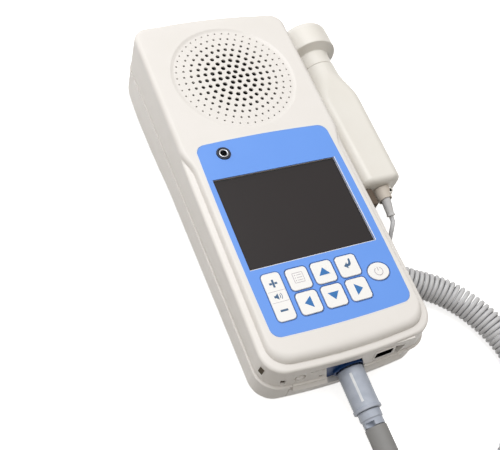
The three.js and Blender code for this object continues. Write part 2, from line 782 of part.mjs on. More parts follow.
const flangeTop = -wall - seatGap;
const flangeBottom = flangeTop - keyFlangeThickness;
for (const key of keys) {
  const cap = solid(slab(key.outline(0), flangeBottom, keyProud));
  const flange = solid(slab(key.flange ?? key.outline(keyFlange), flangeBottom, flangeTop));
  piece(device, key.name, cap.add(flange), white, 0.4);
}
const switchTop = flangeBottom - keyTravel - seatGap;
const boardTop = switchTop - switchThickness - seatGap;
const rockerSwitchY = rockerHeight / 2 - switchSize / 2;
const switchPlaces = keys.flatMap(({ name, x, y }) => (name === 'volume_rocker'
  ? [[x, y - rockerSwitchY], [x, y + rockerSwitchY]] : [[x, y]]));
const keyBoardLeftX = rockerX - rockerWidth / 2 - keyBoardMargin;
const keyBoardRightX = powerX + powerWidth / 2 + keyBoardMargin;
const keyBoardLowY = lowerRowY - keyHeight / 2 - keyBoardMargin;
const keyBoardHighY = Math.min(upperRowY + keyHeight / 2 + keyBoardMargin,
  -displayHalfHeight - seatGap);
const domes = switchPlaces.map(([x, y]) => block(x - switchSize / 2, x + switchSize / 2,
  y - switchSize / 2, y + switchSize / 2, switchTop - switchThickness, switchTop));
const sheet = block(keyBoardLeftX + domeSheetMargin, keyBoardRightX - domeSheetMargin,
  keyBoardLowY + domeSheetMargin, keyBoardHighY - domeSheetMargin,
  switchTop - switchThickness, switchTop - switchThickness + domeSheetThickness);
piece(device, 'key_dome_sheet', all([sheet, ...domes]), black, 0.6);
piece(device, 'key_board', block(keyBoardLeftX, keyBoardRightX, keyBoardLowY, keyBoardHighY,
  boardTop - keyBoardThickness, boardTop), boardGreen, 0.6);

// Headphone socket: a collar on the overlay, a metal sleeve through the shell and a body behind it
const collarSeat = -overlayThickness;
const collarBore = jackSleeveRadius + seatGap;
piece(device, 'jack_collar', turned([
  [collarBore, collarSeat], [jackCollarRadius, collarSeat], [jackCollarRadius, jackProud],
  [collarBore, jackProud],
], 20, true).translate(jackX, jackY, 0), 0x1b2f5c, 0.5);
piece(device, 'jack_sleeve', turned([
  [jackBoreRadius, jackProud - jackLength], [jackSleeveRadius, jackProud - jackLength],
  [jackSleeveRadius, jackProud], [jackBoreRadius, jackProud],
], 20, true).translate(jackX, jackY, 0), steel, 0.3, 1);
const jackBodyTop = jackProud - jackLength - seatGap;
piece(device, 'jack_body', block(jackX - jackBodyWidth / 2, jackX + jackBodyWidth / 2,
  jackY - jackBodyLength / 2, jackY + jackBodyLength / 2, jackBodyTop - jackBodyDepth, jackBodyTop),
black, 0.6);

// Main circuit board under the display, with its processor on top
const boardStartY = lowerScrewY + postRadius + seatGap;
const mainBoardTop = -boardDepth;
const mainBoardBottom = mainBoardTop - boardThickness;
piece(device, 'main_board', block(-boardHalfWidth, boardHalfWidth, boardStartY, boardEndY,
  mainBoardBottom, mainBoardTop), boardGreen, 0.6);
piece(device, 'processor', block(chipX - chipSize / 2, chipX + chipSize / 2, chipY - chipSize / 2,
  chipY + chipSize / 2, mainBoardTop + seatGap, mainBoardTop + seatGap + chipThickness), black, 0.5);

// Loudspeaker: gasket, basket, cone with its dust cap, and magnet
const speaker = new THREE.Group();
speaker.position.set(speakerX, speakerY, -seatDiscDepth - seatGap);
device.add(speaker);
const gasketInner = driverRadius - gasketWidth;
piece(speaker, 'speaker_gasket', turned([
  [gasketInner, -gasketThickness], [driverRadius, -gasketThickness], [driverRadius, 0],
  [gasketInner, 0],
], 24, true), black, 0.9);
const basketTop = -gasketThickness - seatGap;
const basketLow = basketTop - basketDepth;
piece(speaker, 'speaker_basket', turned([
  [basketNeckRadius, basketLow], [basketNeckRadius + basketWall, basketLow],
  [driverRadius - basketWall, basketTop - basketWall], [driverRadius, basketTop - basketWall],
  [driverRadius, basketTop], [gasketInner + seatGap, basketTop],
], 24, true), 0x33363a, 0.5, 0.8);
const coneRim = gasketInner - seatGap;
const coneNeckY = basketTop - coneDepth;
piece(speaker, 'speaker_cone', turned([
  [0, coneNeckY], [dustCapRadius, coneNeckY], [coneRim, basketTop],
  [coneRim, basketTop + coneThickness], [dustCapRadius, coneNeckY + coneThickness],
  [0, coneNeckY + 2 * coneThickness],
], 24, true), 0x26272a, 0.8);
piece(speaker, 'speaker_magnet', disc(magnetRadius, 0, 0, basketLow - seatGap - magnetDepth,
  basketLow - seatGap, 20), steel, 0.4, 1);

// Battery cells and their contact plates
const cellStartY = compartmentStartY + cellEndRoom;
const cells = [-1.5, -0.5, 0.5, 1.5].map((k, i) => {
  const flip = i % 2 ? -1 : 1;
  const half = cellLength / 2;
  const cell = turned([
    [0, -half], [cellRadius, -half], [cellRadius, half - cellCapLength],
    [cellCapRadius, half - cellCapLength], [cellCapRadius, half], [0, half],
  ], 14);
  if (flip < 0) cell.rotateZ(Math.PI);
  return cell.translate(k * cellPitch, cellStartY + half, -cellDepth);
});
cells.forEach((cell, i) => piece(device, `battery_cell_${i + 1}`, cell, 0x3b3f44, 0.4, 0.5));
const contactHalf = 1.5 * cellPitch + contactSize / 2;
const contactPlaces = [compartmentStartY + seatGap, compartmentEndY - seatGap - contactThickness];
contactPlaces.forEach((y, i) => piece(device, `battery_contact_strip_${i + 1}`, block(-contactHalf,
  contactHalf, y, y + contactThickness, -cellDepth - contactSize / 2, -cellDepth + contactSize / 2),
steel, 0.3, 1));

// Button end: the plug socket's insert and the data port
const insertFaceY = buttonEndY - insertOut;
const insertEndY = buttonEndY + bayLength - seatGap;
const alongY = (profile, segments, x, z) => turned(profile, segments).translate(x, 0, z);
const noseBore = solid(alongY([
  [0, outsideY], [noseRadius + seatGap, outsideY], [noseRadius + seatGap, insertEndY + overrun],
  [0, insertEndY + overrun],
], 16, 0, -plugDepth));
piece(device, 'socket_insert', solid(block(bayLeftX + seatGap, bayRightX - seatGap, insertFaceY,
  insertEndY, -bayBottomDepth + seatGap, -bayTopDepth - seatGap)).subtract(noseBore), 0x0f4a94, 0.4);
const portHalf = portWidth / 2 - seatGap;
const portBottom = -portTopDepth - portHeight + seatGap;
const portStartY = buttonEndY - portOut;
const portEndY = buttonEndY + portLength - seatGap;
piece(device, 'data_port', solid(block(portX - portHalf, portX + portHalf, portStartY, portEndY,
  portBottom, -portTopDepth - seatGap)).subtract(solid(block(portX - portHalf + portWall,
  portX + portHalf - portWall, outsideY, portEndY - portFloor, portBottom + portWall,
  -portTopDepth - seatGap - portWall))), black, 0.5);

// Feet and bare label, upright in the table frame
function onTable(x, y, z) {
  return new THREE.Vector3(x, y, z).applyMatrix4(toTable);
}
const footPlaces = [lowerFootY, upperFootY].flatMap((y, i) => [-1, 1].map((side) => {
  const x = side * (i ? upperFootX : footX);
  const height = onTable(x, y - footRadius, backAt(y - footRadius)).z - seatGap;
  return [x, onTable(x, y, backAt(y)).y, height];
}));
footPlaces.forEach(([x, y, height], i) => piece(table, `rubber_foot_${i + 1}`,
  disc(footRadius, x, y, 0, height, 14), 0x4a4a4c, 0.9));
const labelTop = onTable(0, labelY, backAt(labelY)).z - seatGap;
const labelMiddleY = onTable(0, labelY, backAt(labelY)).y;
piece(table, 'bare_label', block(-labelWidth / 2, labelWidth / 2, labelMiddleY - labelLength / 2,
  labelMiddleY + labelLength / 2, labelTop - labelThickness, labelTop), 0xe4e4e0, 0.5);

// Probe, with its length along Y
const probe = new THREE.Group();
probe.position.set(probeX, 0, -probeDepth);
device.add(probe);
const neckEndY = neckJointY + seatGap / 2;
const shoulderY = neckJointY - seatGap / 2;
const headRimY = headEndY - faceThickness - seatGap;
piece(probe, 'probe_head', turned([
  [neckRadius - headWall, neckEndY], [neckRadius, neckEndY], [neckRadius, headStartY],
  [headRadius, headStartY], [headRadius, headRimY], [headRadius - headWall, headRimY],
  [headRadius - headWall, headStartY + headWall], [neckRadius - headWall, headStartY + headWall],
], 28), ivory, 0.45);
const faceStartY = headEndY - faceThickness;
piece(probe, 'probe_face', turned([
  [0, faceStartY], [headRadius, faceStartY], [headRadius, headEndY - faceRound],
  [headRadius - 0.3 * faceRound, headEndY - 0.3 * faceRound], [headRadius - faceRound, headEndY],
  [0, headEndY],
], 28), 0xe2ddd4, 0.4);
piece(probe, 'probe_transducer', turned([
  [0, faceStartY - seatGap - transducerThickness],
  [transducerRadius, faceStartY - seatGap - transducerThickness],
  [transducerRadius, faceStartY - seatGap], [0, faceStartY - seatGap],
], 20), 0xc9b48a, 0.4, 0.6);

// Grip: rings of rounded rectangles along Y that grow into the round neck.
function gripRing(y, halfWidth, halfThickness, corner) {
  return roundedRectangle(2 * halfWidth, 2 * halfThickness, corner, 0, 0, gripCornerSteps)
    .map((p) => new THREE.Vector3(p.x, p.y, y));
}
const gripRows = (inset, startY, endY) => [
  ...[[0, 0.8], [0.2, 0.3], [1, 0]].map(([share, tuck]) => [startY + share * gripEndRound,
    gripHalfWidth - tuck * gripEndRound, gripHalfThickness - tuck * gripEndRound, gripCorner]),
  ...[0, 1 / 3, 2 / 3, 1].map((share) => {
    const t = smooth(0, 1, share);
    return [mix(gripShoulderY, gripRoundY, share), mix(gripHalfWidth, neckRadius, t),
      mix(gripHalfThickness, neckRadius, t), mix(gripCorner, neckRadius, t)];
  }),
  [endY, neckRadius, neckRadius, neckRadius],
].map(([y, halfWidth, halfThickness, corner]) => gripRing(y, halfWidth - inset,
  halfThickness - inset, corner - inset));
const lengthwise = (rings) => solid(loft(rings).rotateX(-Math.PI / 2));
const gripOuter = lengthwise(gripRows(0, gripStartY, shoulderY));
const gripInnerRows = gripRows(gripWall, gripStartY + gripWall, shoulderY);
gripInnerRows.push(gripInnerRows[gripInnerRows.length - 1].map((p) => p.clone()
  .setZ(shoulderY + overrun)));
const gripInner = lengthwise(gripInnerRows);
const cableBore = solid(alongY([
  [0, gripStartY - overrun], [glandBore, gripStartY - overrun],
  [glandBore, gripStartY + gripEndRound], [0, gripStartY + gripEndRound],
], 10, glandX, glandZ));
const smallHole = solid(alongY([
  [0, gripStartY - overrun], [probeHoleRadius, gripStartY - overrun],
  [probeHoleRadius, gripStartY + probeHoleLength], [0, gripStartY + probeHoleLength],
], 8, probeHoleX, probeHoleZ));
const grip = gripOuter.subtract(gripInner).subtract(cableBore).subtract(smallHole);
const half = (z0, z1) => grip.intersect(solid(block(-2 * gripHalfWidth, 2 * gripHalfWidth,
  0, headStartY, z0, z1)));
piece(probe, 'probe_grip_front', half(seatGap / 2, 2 * gripHalfThickness), ivory, 0.45);
piece(probe, 'probe_grip_rear', half(-2 * gripHalfThickness, -seatGap / 2), ivory, 0.45);
const probeBoardHalf = gripHalfWidth - gripWall - seatGap;
piece(probe, 'probe_board', block(-probeBoardHalf, probeBoardHalf, probeBoardStartY,
  gripShoulderY, -probeBoardThickness / 2, probeBoardThickness / 2), boardGreen, 0.6);
piece(probe, 'probe_gland', turned([
  [glandBore, glandEndY], [glandEndRadius, glandEndY], [glandRadius, gripStartY - seatGap],
  [glandBore, gripStartY - seatGap],
], 18).translate(glandX, 0, glandZ), ivory, 0.5);

// The boot droops from the gland; its own start face is square to its axis.
const bootDrop = THREE.MathUtils.degToRad(bootDropDegrees);
const bootStartY = glandEndY - seatGap - bootStartRadius * Math.sin(bootDrop);
const bootProfile = [[0, -bootLength], [bootEndRadius, -bootLength]];
for (let k = 0; k < bootRibs; k += 1) {
  const share = (k + 0.5) / (bootRibs + 1);
  const y = -bootLength * (1 - share);
  const r = mix(bootEndRadius, bootStartRadius, share);
  const step = bootLength / (4 * (bootRibs + 1));
  bootProfile.push([r, y - step], [r - bootGroove, y - step / 2], [r - bootGroove, y + step / 2],
    [r, y + step]);
}
bootProfile.push([bootStartRadius, 0], [0, 0]);
const boot = piece(probe, 'probe_boot', turned(bootProfile, 12), rubber, 0.8);
boot.position.set(glandX, bootStartY, glandZ);
boot.rotation.x = bootDrop;
const bootAxis = new THREE.Vector3(0, -Math.cos(bootDrop), -Math.sin(bootDrop));
const bootTip = new THREE.Vector3(probeX + glandX, bootStartY, glandZ - probeDepth)
  .addScaledVector(bootAxis, bootLength);

// Holder: a side plate on the housing, a floor under the grip and a stop at its lower end
const holderLeftX = bodyHalfWidth + seatGap;
const holderRightX = probeX - gripHalfWidth - seatGap;
const holderFloorTop = -probeDepth - gripHalfThickness - seatGap;
const holderBottom = holderFloorTop - holderFloorThickness;
piece(device, 'probe_holder', all([
  block(holderLeftX, holderRightX, holderStartY, holderEndY, holderBottom, -holderTopDepth),
  block(holderLeftX, holderLeftX + holderFloorWidth, holderFloorStartY, holderFloorEndY,
    holderBottom, holderFloorTop),
  block(holderLeftX, holderLeftX + holderStopWidth, holderStartY, holderStartY + holderStopLength,
    holderBottom, -holderStopTopDepth),
  block(holderLeftX, holderRightX, holderEndY - holderFingerLength, holderEndY,
    -holderTopDepth - overrun, -holderFingerTopDepth),
]), 0xd9d3c9, 0.6);

// Plug, along Y, with its nose in the insert
const plug = new THREE.Group();
plug.position.set(0, 0, -plugDepth);
device.add(plug);
piece(plug, 'plug_nose', turned([
  [0, insertFaceY], [noseRadius, insertFaceY], [noseRadius, insertFaceY + noseLength],
  [0, insertFaceY + noseLength],
], 16), steel, 0.3, 1);
const barrelStartY = insertFaceY - seatGap;
const rimRadius = barrelRadius + barrelRim;
piece(plug, 'plug_barrel', turned([
  [0, barrelEndY], [rimRadius - barrelRim, barrelEndY], [rimRadius, barrelEndY + barrelRim],
  [rimRadius, barrelEndY + barrelRimLength], [barrelRadius, barrelEndY + barrelRimLength + barrelRim],
  [barrelRadius, barrelStartY], [0, barrelStartY],
], 24), greyBlue, 0.45);
const sleeveStartY = barrelEndY - seatGap;
piece(plug, 'plug_sleeve', turned([
  [0, sleeveEndY], [sleeveRadius, sleeveEndY], [sleeveRadius, mix(sleeveEndY, sleeveStartY, 0.4)],
  [sleeveRadius + sleeveStep, mix(sleeveEndY, sleeveStartY, 0.5)],
  [sleeveRadius + sleeveStep, sleeveStartY], [0, sleeveStartY],
], 20), greyBlue, 0.45);
const reliefStartY = sleeveEndY - seatGap;
piece(plug, 'plug_relief', turned([
  [0, reliefEndY], [reliefTipRadius, reliefEndY], [reliefRadius, reliefStartY - reliefStraight],
  [reliefRadius, reliefStartY], [0, reliefStartY],
], 16), rubber, 0.8);

// Cables. A route's ends leave their pieces straight and square for one cable diameter.
function routed(name, points, steps, color) {
  const curve = new THREE.CatmullRomCurve3(points, false, 'centripetal');
  const section = new THREE.Shape(oval(cableDiameter, cableDiameter, 0, 0, cableSides));
  const tube = new THREE.ExtrudeGeometry(section, { steps, bevelEnabled: false, extrudePath: curve });
  return piece(table, name, tube, color, 0.6);
}
const straightEnd = (from, way) => [seatGap, seatGap + cableDiameter / 2, seatGap + cableDiameter]
  .map((length) => from.clone().addScaledVector(way, length));

const axisPoints = curlRoute.map(([x, y]) => new THREE.Vector3(x, y, curlAxisHeight));
const axis = new THREE.CatmullRomCurve3(axisPoints, false, 'centripetal');
axis.arcLengthDivisions = curlCount * curlSteps;
const curlRadius = (curlOuterDiameter - curlWire) / 2;
const endShare = curlWire / axis.getLength();
const up = new THREE.Vector3(0, 0, 1);
const turns = curlCount * curlSteps;

// The wire comes in along the table to the lowest point of the first curl, and ends on the axis.
const startWay = axis.getTangentAt(0).cross(up).normalize();
const lowest = axis.getPointAt(0).addScaledVector(up, -curlRadius);
const wire = [1, 0.5].map((share) => lowest.clone().addScaledVector(startWay, -share * curlWire));
for (let k = 0; k < turns; k += 1) {
  const share = mix(0, 1 - endShare, k / turns);
  const along = axis.getTangentAt(share);
  const side = along.clone().cross(up).normalize();
  const grown = Math.min(1, (turns - k) / curlSteps);
  const angle = (k / curlSteps - 0.25) * 2 * Math.PI;
  const out = side.multiplyScalar(Math.cos(angle)).addScaledVector(up, Math.sin(angle));
  wire.push(axis.getPointAt(share).addScaledVector(out, grown * curlRadius));
}
wire.push(axis.getPointAt(1 - endShare), axis.getPointAt(1 - endShare / 2), axis.getPointAt(1));

// A five-sided tube along the wire, its section carried on without twist from step to step.
function sweep(path, radius, sides) {
  const rings = [];
  let normal = up.clone();
  path.forEach((centre, i) => {
    const before = path[Math.max(i - 1, 0)];
    const after = path[Math.min(i + 1, path.length - 1)];
    const along = after.clone().sub(before).normalize();
    normal = normal.clone().addScaledVector(along, -normal.dot(along)).normalize();
    const side = along.clone().cross(normal);
    rings.push(Array.from({ length: sides }, (_, k) => {
      const angle = k / sides * 2 * Math.PI;
      return centre.clone().addScaledVector(normal, radius * Math.cos(angle))
        .addScaledVector(side, radius * Math.sin(angle));
    }));
  });
  return loft(rings);
}
piece(table, 'curly_cord', sweep(wire, curlWire / 2, curlSides), cordGrey, 0.55);
let leastGap = Infinity;
wire.forEach((from, i) => {
  for (let k = i + Math.ceil(curlSteps / 2); k < wire.length; k += 1) {
    leastGap = Math.min(leastGap, from.distanceTo(wire[k]) - curlWire);
  }
});
console.log(`curly cord: least gap to itself ${leastGap.toFixed(2)} mm`);

const curlEnd = axis.getPointAt(1);
const bootWay = bootAxis.clone().transformDirection(toTable);
routed('probe_cable', [
  ...straightEnd(onTable(bootTip.x, bootTip.y, bootTip.z), bootWay),
  ...cableRoute.map((point) => new THREE.Vector3(...point)),
  ...straightEnd(wire[0], startWay.clone().negate()).reverse(),
], cableSteps, cordGrey);
const reliefWay = new THREE.Vector3(0, -1, 0).transformDirection(toTable);
routed('plug_lead', [
  ...straightEnd(onTable(0, reliefEndY, -plugDepth), reliefWay),
  ...leadRoute.map((point) => new THREE.Vector3(...point)),
  ...straightEnd(curlEnd, axis.getTangentAt(1)).reverse(),
], leadSteps, cordGrey);

// The origin lies under the middle of the device and its parked probe, cables left aside.
const cordNames = ['plug_nose', 'plug_barrel', 'plug_sleeve', 'plug_relief', 'plug_lead',
  'curly_cord', 'probe_cable'];
root.updateMatrixWorld(true);
const extent = new THREE.Box3();
root.traverse((node) => {
  if (!node.isMesh || cordNames.includes(node.name)) return;
  extent.union(new THREE.Box3().setFromObject(node, true));
});
const middle = extent.getCenter(new THREE.Vector3());
root.position.set(-middle.x, -middle.y, 0);

export default root;
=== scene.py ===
"""A table-top fetal doppler monitor, its probe parked at the side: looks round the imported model.

Sizes are millimetres in the device's own frame, whose origin is in the front face at the middle
of the screen, with X to the right, Y to the loudspeaker and Z out of the front. `to_row` takes
them to metres in the row's frame, where the whole device leans back on its feet.
"""
import math

import bmesh
import bpy
from mathutils import Matrix, Vector


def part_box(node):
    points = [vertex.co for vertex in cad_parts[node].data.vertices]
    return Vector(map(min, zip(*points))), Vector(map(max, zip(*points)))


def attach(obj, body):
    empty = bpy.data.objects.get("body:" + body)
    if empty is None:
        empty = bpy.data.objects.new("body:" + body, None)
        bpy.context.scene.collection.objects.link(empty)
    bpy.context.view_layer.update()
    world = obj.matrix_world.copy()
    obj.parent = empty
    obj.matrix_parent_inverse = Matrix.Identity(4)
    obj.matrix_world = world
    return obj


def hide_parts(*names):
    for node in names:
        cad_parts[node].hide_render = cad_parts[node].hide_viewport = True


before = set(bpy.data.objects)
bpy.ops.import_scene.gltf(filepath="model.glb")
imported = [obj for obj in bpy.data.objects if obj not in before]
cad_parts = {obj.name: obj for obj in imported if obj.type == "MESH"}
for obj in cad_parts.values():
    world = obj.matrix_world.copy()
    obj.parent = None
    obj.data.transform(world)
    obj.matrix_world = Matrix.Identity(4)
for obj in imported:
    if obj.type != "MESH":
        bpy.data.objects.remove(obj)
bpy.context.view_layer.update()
scene = bpy.context.scene

# ---- Stance ----
# The housing stands on four feet with its loudspeaker end a little higher, so that the screen
# leans towards whoever sits in front of it.
tilt = math.radians(4.6)
rest_depth = 41.6
middle_x = -17.4
middle_y = -29.0622
to_table = Matrix.Translation((0, 0, rest_depth * math.cos(tilt))) @ Matrix.Rotation(tilt, 4, "X")
table_to_row = Matrix.Scale(0.001, 4) @ Matrix.Translation((middle_x, middle_y, 0))
to_row = table_to_row @ to_table

# ---- Camera ----
# It looks down on the front from the lower left, at 4:3.6, with the loudspeaker away from it.
camera_right = Vector((0.90746, -0.35639, 0.22251))
camera_up = Vector((0.20354, 0.83622, 0.50923))
camera_back = Vector((-0.36755, -0.41681, 0.83137))
camera_place = Vector((-166.916, -161.819, 317.266))
camera_data = bpy.data.cameras.new("camera")
camera_data.sensor_width = 36
camera_data.lens = 55.226
camera = bpy.data.objects.new("camera", camera_data)
scene.collection.objects.link(camera)
camera_turn = Matrix((camera_right, camera_up, camera_back)).transposed().to_4x4()
camera.matrix_world = (Matrix.Translation(to_row @ camera_place) @ Matrix.Rotation(tilt, 4, "X")
                       @ camera_turn)
scene.camera = camera
scene.view_settings.view_transform = "Standard"


# ---- Light and floor ----
# A bright white table in a pale room. The light is soft and comes from above, a little from the
# left, and the wall towards the plug lies in a warm shade.
class Term:
    """A shader socket that can stand in a sum, where it adds the Math node itself."""

    def __init__(self, tree, socket):
        self.tree = tree
        self.socket = socket

    def math(self, operation, first, second):
        node = self.tree.nodes.new("ShaderNodeMath")
        node.operation = operation
        for entry, value in zip(node.inputs, (first, second)):
            connect(self.tree, entry, value)
        return Term(self.tree, node.outputs[0])

    def __add__(self, other):
        return self.math("ADD", self, other)

    def __sub__(self, other):
        return self.math("SUBTRACT", self, other)

    def __rsub__(self, other):
        return self.math("SUBTRACT", other, self)

    def __mul__(self, other):
        return self.math("MULTIPLY", self, other)

    __radd__ = __add__
    __rmul__ = __mul__


def connect(tree, entry, value):
    if isinstance(value, Term):
        tree.links.new(value.socket, entry)
    else:
        entry.default_value = value


def tone(code):
    """A colour written as six hexadecimal digits, as linear red, green, blue and 1."""
    parts = [int(code[k:k + 2], 16) / 255 for k in (0, 2, 4)]
    return [p / 12.92 if p <= 0.04045 else ((p + 0.055) / 1.055) ** 2.4 for p in parts] + [1]


class Nodes:
    """A node tree and the nodes that are added to it."""

    def __init__(self, tree):
        self.tree = tree

    def add(self, kind, settings=None, inputs=None, output=0):
        node = self.tree.nodes.new(kind)
        for key, value in (settings or {}).items():
            setattr(node, key, value)
        for key, value in (inputs or {}).items():
            connect(self.tree, node.inputs[key], value)
        return Term(self.tree, node.outputs[output])

    def blend(self, share, first, second):
        settings = {"data_type": "RGBA"}
        return self.add("ShaderNodeMix", settings, {0: share, 6: first, 7: second}, 2)


class Finish(Nodes):
    """A material with its Principled shader."""

    def __init__(self, name, color, roughness=0.5, metallic=0, specular=0.5, glow=0):
        self.material = bpy.data.materials.new(name)
        self.material.use_nodes = True
        super().__init__(self.material.node_tree)
        self.shader = self.tree.nodes["Principled BSDF"]
        for key, value in (("Base Color", tone(color)), ("Roughness", roughness),
                           ("Metallic", metallic), ("Specular IOR Level", specular),
                           ("Emission Strength", glow)):
            self.set(key, value)
        self.place = self.add("ShaderNodeTexCoord", output="Object")

    def set(self, key, value):
        connect(self.tree, self.shader.inputs[key], value)

    def noise(self, scale, detail=3):
        inputs = {"Vector": self.place, "Scale": scale, "Detail": detail}
        return self.add("ShaderNodeTexNoise", None, inputs, "Fac")

    def mottled(self, light, dark, scale, detail=3, key="Base Color"):
        """Goes from one colour to a close one in soft patches."""
        self.set(key, self.blend(self.noise(scale, detail), tone(light), tone(dark)))
        return self

    def rubbed(self, low, spread, scale):
        """Gloss that changes from place to place."""
        self.set("Roughness", low + spread * self.noise(scale))
        return self

    def grained(self, scale, metres, detail=2):
        """A fine relief in the surface."""
        inputs = {"Strength": 1, "Distance": metres, "Height": self.noise(scale, detail)}
        self.set("Normal", self.add("ShaderNodeBump", None, inputs))
        return self

    def moulded(self, light, dark, roughness, grain_scale=3200, grain=0.000012):
        """Satin moulding: slow changes of colour and gloss, and a fine spark-eroded grain."""
        self.set("Roughness", roughness + 0.12 * (self.noise(160) - 0.5))
        return self.mottled(light, dark, 45, 4).grained(grain_scale, grain)


world = bpy.data.worlds.new("pale_room")
world.use_nodes = True
room = Nodes(world.node_tree)
way = room.add("ShaderNodeTexCoord", output="Generated")
brightest_way = (-0.29, 0.14, 0.95)
rise = room.add("ShaderNodeVectorMath", {"operation": "DOT_PRODUCT"},
                {0: way, 1: brightest_way}, "Value")
low_share, high_share = (
    room.add("ShaderNodeMapRange", None, {"Value": rise, "From Min": low, "From Max": high})
    for low, high in ((-0.25, 0.31), (0.3, 1)))
warm_dusk = room.blend(low_share, tone("1a130c"), tone("bab1a2"))
sky = world.node_tree.nodes["Background"].inputs
connect(world.node_tree, sky["Color"], room.blend(high_share, warm_dusk, tone("ffffff")))
sky["Strength"].default_value = 0.9
scene.world = world

for name, place, size, power in (("overhead_lamp", (-0.08, 0.26, 1), 0.5, 3.7),
                                 ("side_lamp", (-0.38, 0.42, 0.22), 0.3, 0.42)):
    lamp_data = bpy.data.lights.new(name, "AREA")
    lamp_data.shape = "DISK"
    lamp_data.size = size
    lamp_data.energy = power
    lamp = bpy.data.objects.new(name, lamp_data)
    scene.collection.objects.link(lamp)
    lamp.location = place
    lamp.rotation_euler = lamp.location.to_track_quat("Z", "Y").to_euler()


def placed(name, body):
    """An object with the body's mesh, in the scene."""
    mesh = bpy.data.meshes.new(name)
    body.to_mesh(mesh)
    body.free()
    thing = bpy.data.objects.new(name, mesh)
    scene.collection.objects.link(thing)
    return thing


def staged(name, body, finish):
    """A part of the room, which isn't part of the object and throws no light on it."""
    thing = placed(name, body)
    thing.data.materials.append(finish.material)
    thing.visible_diffuse = False
    return thing


table_reach = 4
table = bmesh.new()
bmesh.ops.create_grid(table, x_segments=1, y_segments=1, size=table_reach)
table_finish = Finish("table_white", "ffffff", glow=0.7).rubbed(0.55, 0.1, 9)
table_finish.set("Emission Color", tone("ffffff"))
staged("table_top", table, table_finish)

# The pale wall of the room stands far round the table. Only the camera sees it.
wall_radius = 3.9
room_height = 5
ring = bmesh.new()
bmesh.ops.create_cone(ring, cap_ends=False, segments=64, radius1=wall_radius,
                      radius2=wall_radius, depth=room_height)
wall_finish = Finish("wall_white", "ffffff", 0.8, glow=0.9)
wall_finish.mottled("ffffff", "fafafa", 2, key="Emission Color")
room_wall = staged("room_wall", ring, wall_finish)
room_wall.visible_glossy = False
room_wall.visible_transmission = False
room_wall.visible_shadow = False

# ---- Lead: straight, curly, straight ----
# One soft grey lead runs from the probe's boot to the plug. Its middle is wound into close curls
# that lie on the table beside the housing. Its jacket is a smooth rubbery plastic.
lead_diameter = 2.75
curl_wire = 2.5
curl_outer = 16
curl_height = 8.3
tight_pitch = 2.85
tight_reach = 150
loosening = 20
loose_pitch = 4.3
unwound_pitch = 38
unwound_reach = 28
points_per_turn = 16
straight_spacing = 1.2
boot_tip = Vector((66, -5.27, -23.11))
boot_drop = math.radians(16.5)
relief_tip = Vector((0, -150, -18.2))
relief_root = Vector((0, -114, -18.2))
lead_gap = 0.3
cable_route = [
    (64.3, -9.4, 15.6), (63, -12.8, 11.1), (62.6, -16.2, 6.2), (61.7, -21, 2.7),
    (60, -26.2, 1.6),
]
curl_route = [
    (54.5, -36.4), (60.0, -40.2), (64.3, -43.1), (72.9, -48.8), (80.6, -56.2), (87.4, -66.0),
    (92.3, -76.4), (95.6, -88.0), (96.4, -100.0), (94.2, -111.6), (88.8, -122.0), (81.0, -130.6),
    (70.0, -139.0), (60.0, -146.4), (50.0, -154.2), (39.0, -163.0), (28.0, -171.6),
]
lead_route = [
    (0, -153.5, 10.8), (0.3, -162.0, 9.6), (2.0, -171.0, 8.5), (6.5, -178.6, 8.0),
    (12.8, -181.2, 8.0), (19.2, -178.2, 8.1),
]


def smoothstep(low, high, value):
    t = min(1, max(0, (value - low) / (high - low)))
    return t * t * (3 - 2 * t)


def between(first, second, share):
    return first + (second - first) * share


def smooth_line(points, spacing):
    """Points a spacing apart on a smooth line through the given ones (centripetal)."""
    points = [Vector(p) for p in points]
    ends = [2 * points[0] - points[1]] + points + [2 * points[-1] - points[-2]]
    line = []
    for a, b, c, d in zip(ends, ends[1:], ends[2:], ends[3:]):
        t = [0]
        for p, q in ((a, b), (b, c), (c, d)):
            t.append(t[-1] + max((q - p).length, 1e-6) ** 0.5)
        steps = max(1, round((c - b).length / spacing))
        for k in range(steps):
            u = t[1] + (t[2] - t[1]) * k / steps
            near = [((t[i + 1] - u) * p + (u - t[i]) * q) / (t[i + 1] - t[i])
                    for i, (p, q) in enumerate(((a, b), (b, c), (c, d)))]
            mid = [((t[i + 2] - u) * near[i] + (u - t[i]) * near[i + 1]) / (t[i + 2] - t[i])
                   for i in (0, 1)]
            line.append(((t[2] - u) * mid[0] + (u - t[1]) * mid[1]) / (t[2] - t[1]))
    return line + [points[-1]]


def straight_end(start, way):
    return [start + way.normalized() * length
            for length in (lead_gap, lead_gap + lead_diameter / 2, lead_gap + lead_diameter)]


def side_of(axis, i):
    along = axis[min(i + 1, len(axis) - 1)] - axis[max(i - 1, 0)]
    return along.cross(Vector((0, 0, 1))).normalized()


def curled(axis):
    """The wire's line round an axis: in along the table, round and round, unwound at the end."""
    radius = (curl_outer - curl_wire) / 2
    spans = [0]
    for a, b in zip(axis, axis[1:]):
        spans.append(spans[-1] + (b - a).length)
    lowest = axis[0] - Vector((0, 0, radius))
    wire = [lowest - share * curl_wire * side_of(axis, 0) for share in (1, 0.5)]
    turned = 0
    for i, centre in enumerate(axis):
        grown = smoothstep(0, unwound_reach, spans[-1] - spans[i])
        if i:
            share = min(1, max(0, (spans[i] - tight_reach) / loosening))
            pitch = between(tight_pitch, loose_pitch, share)
            turned += (spans[i] - spans[i - 1]) / between(unwound_pitch, pitch, grown)
        angle = 2 * math.pi * (turned - 0.25)
        out = side_of(axis, i) * math.cos(angle) + Vector((0, 0, 1)) * math.sin(angle)
        wire.append(centre + out * radius * grown)
    return wire


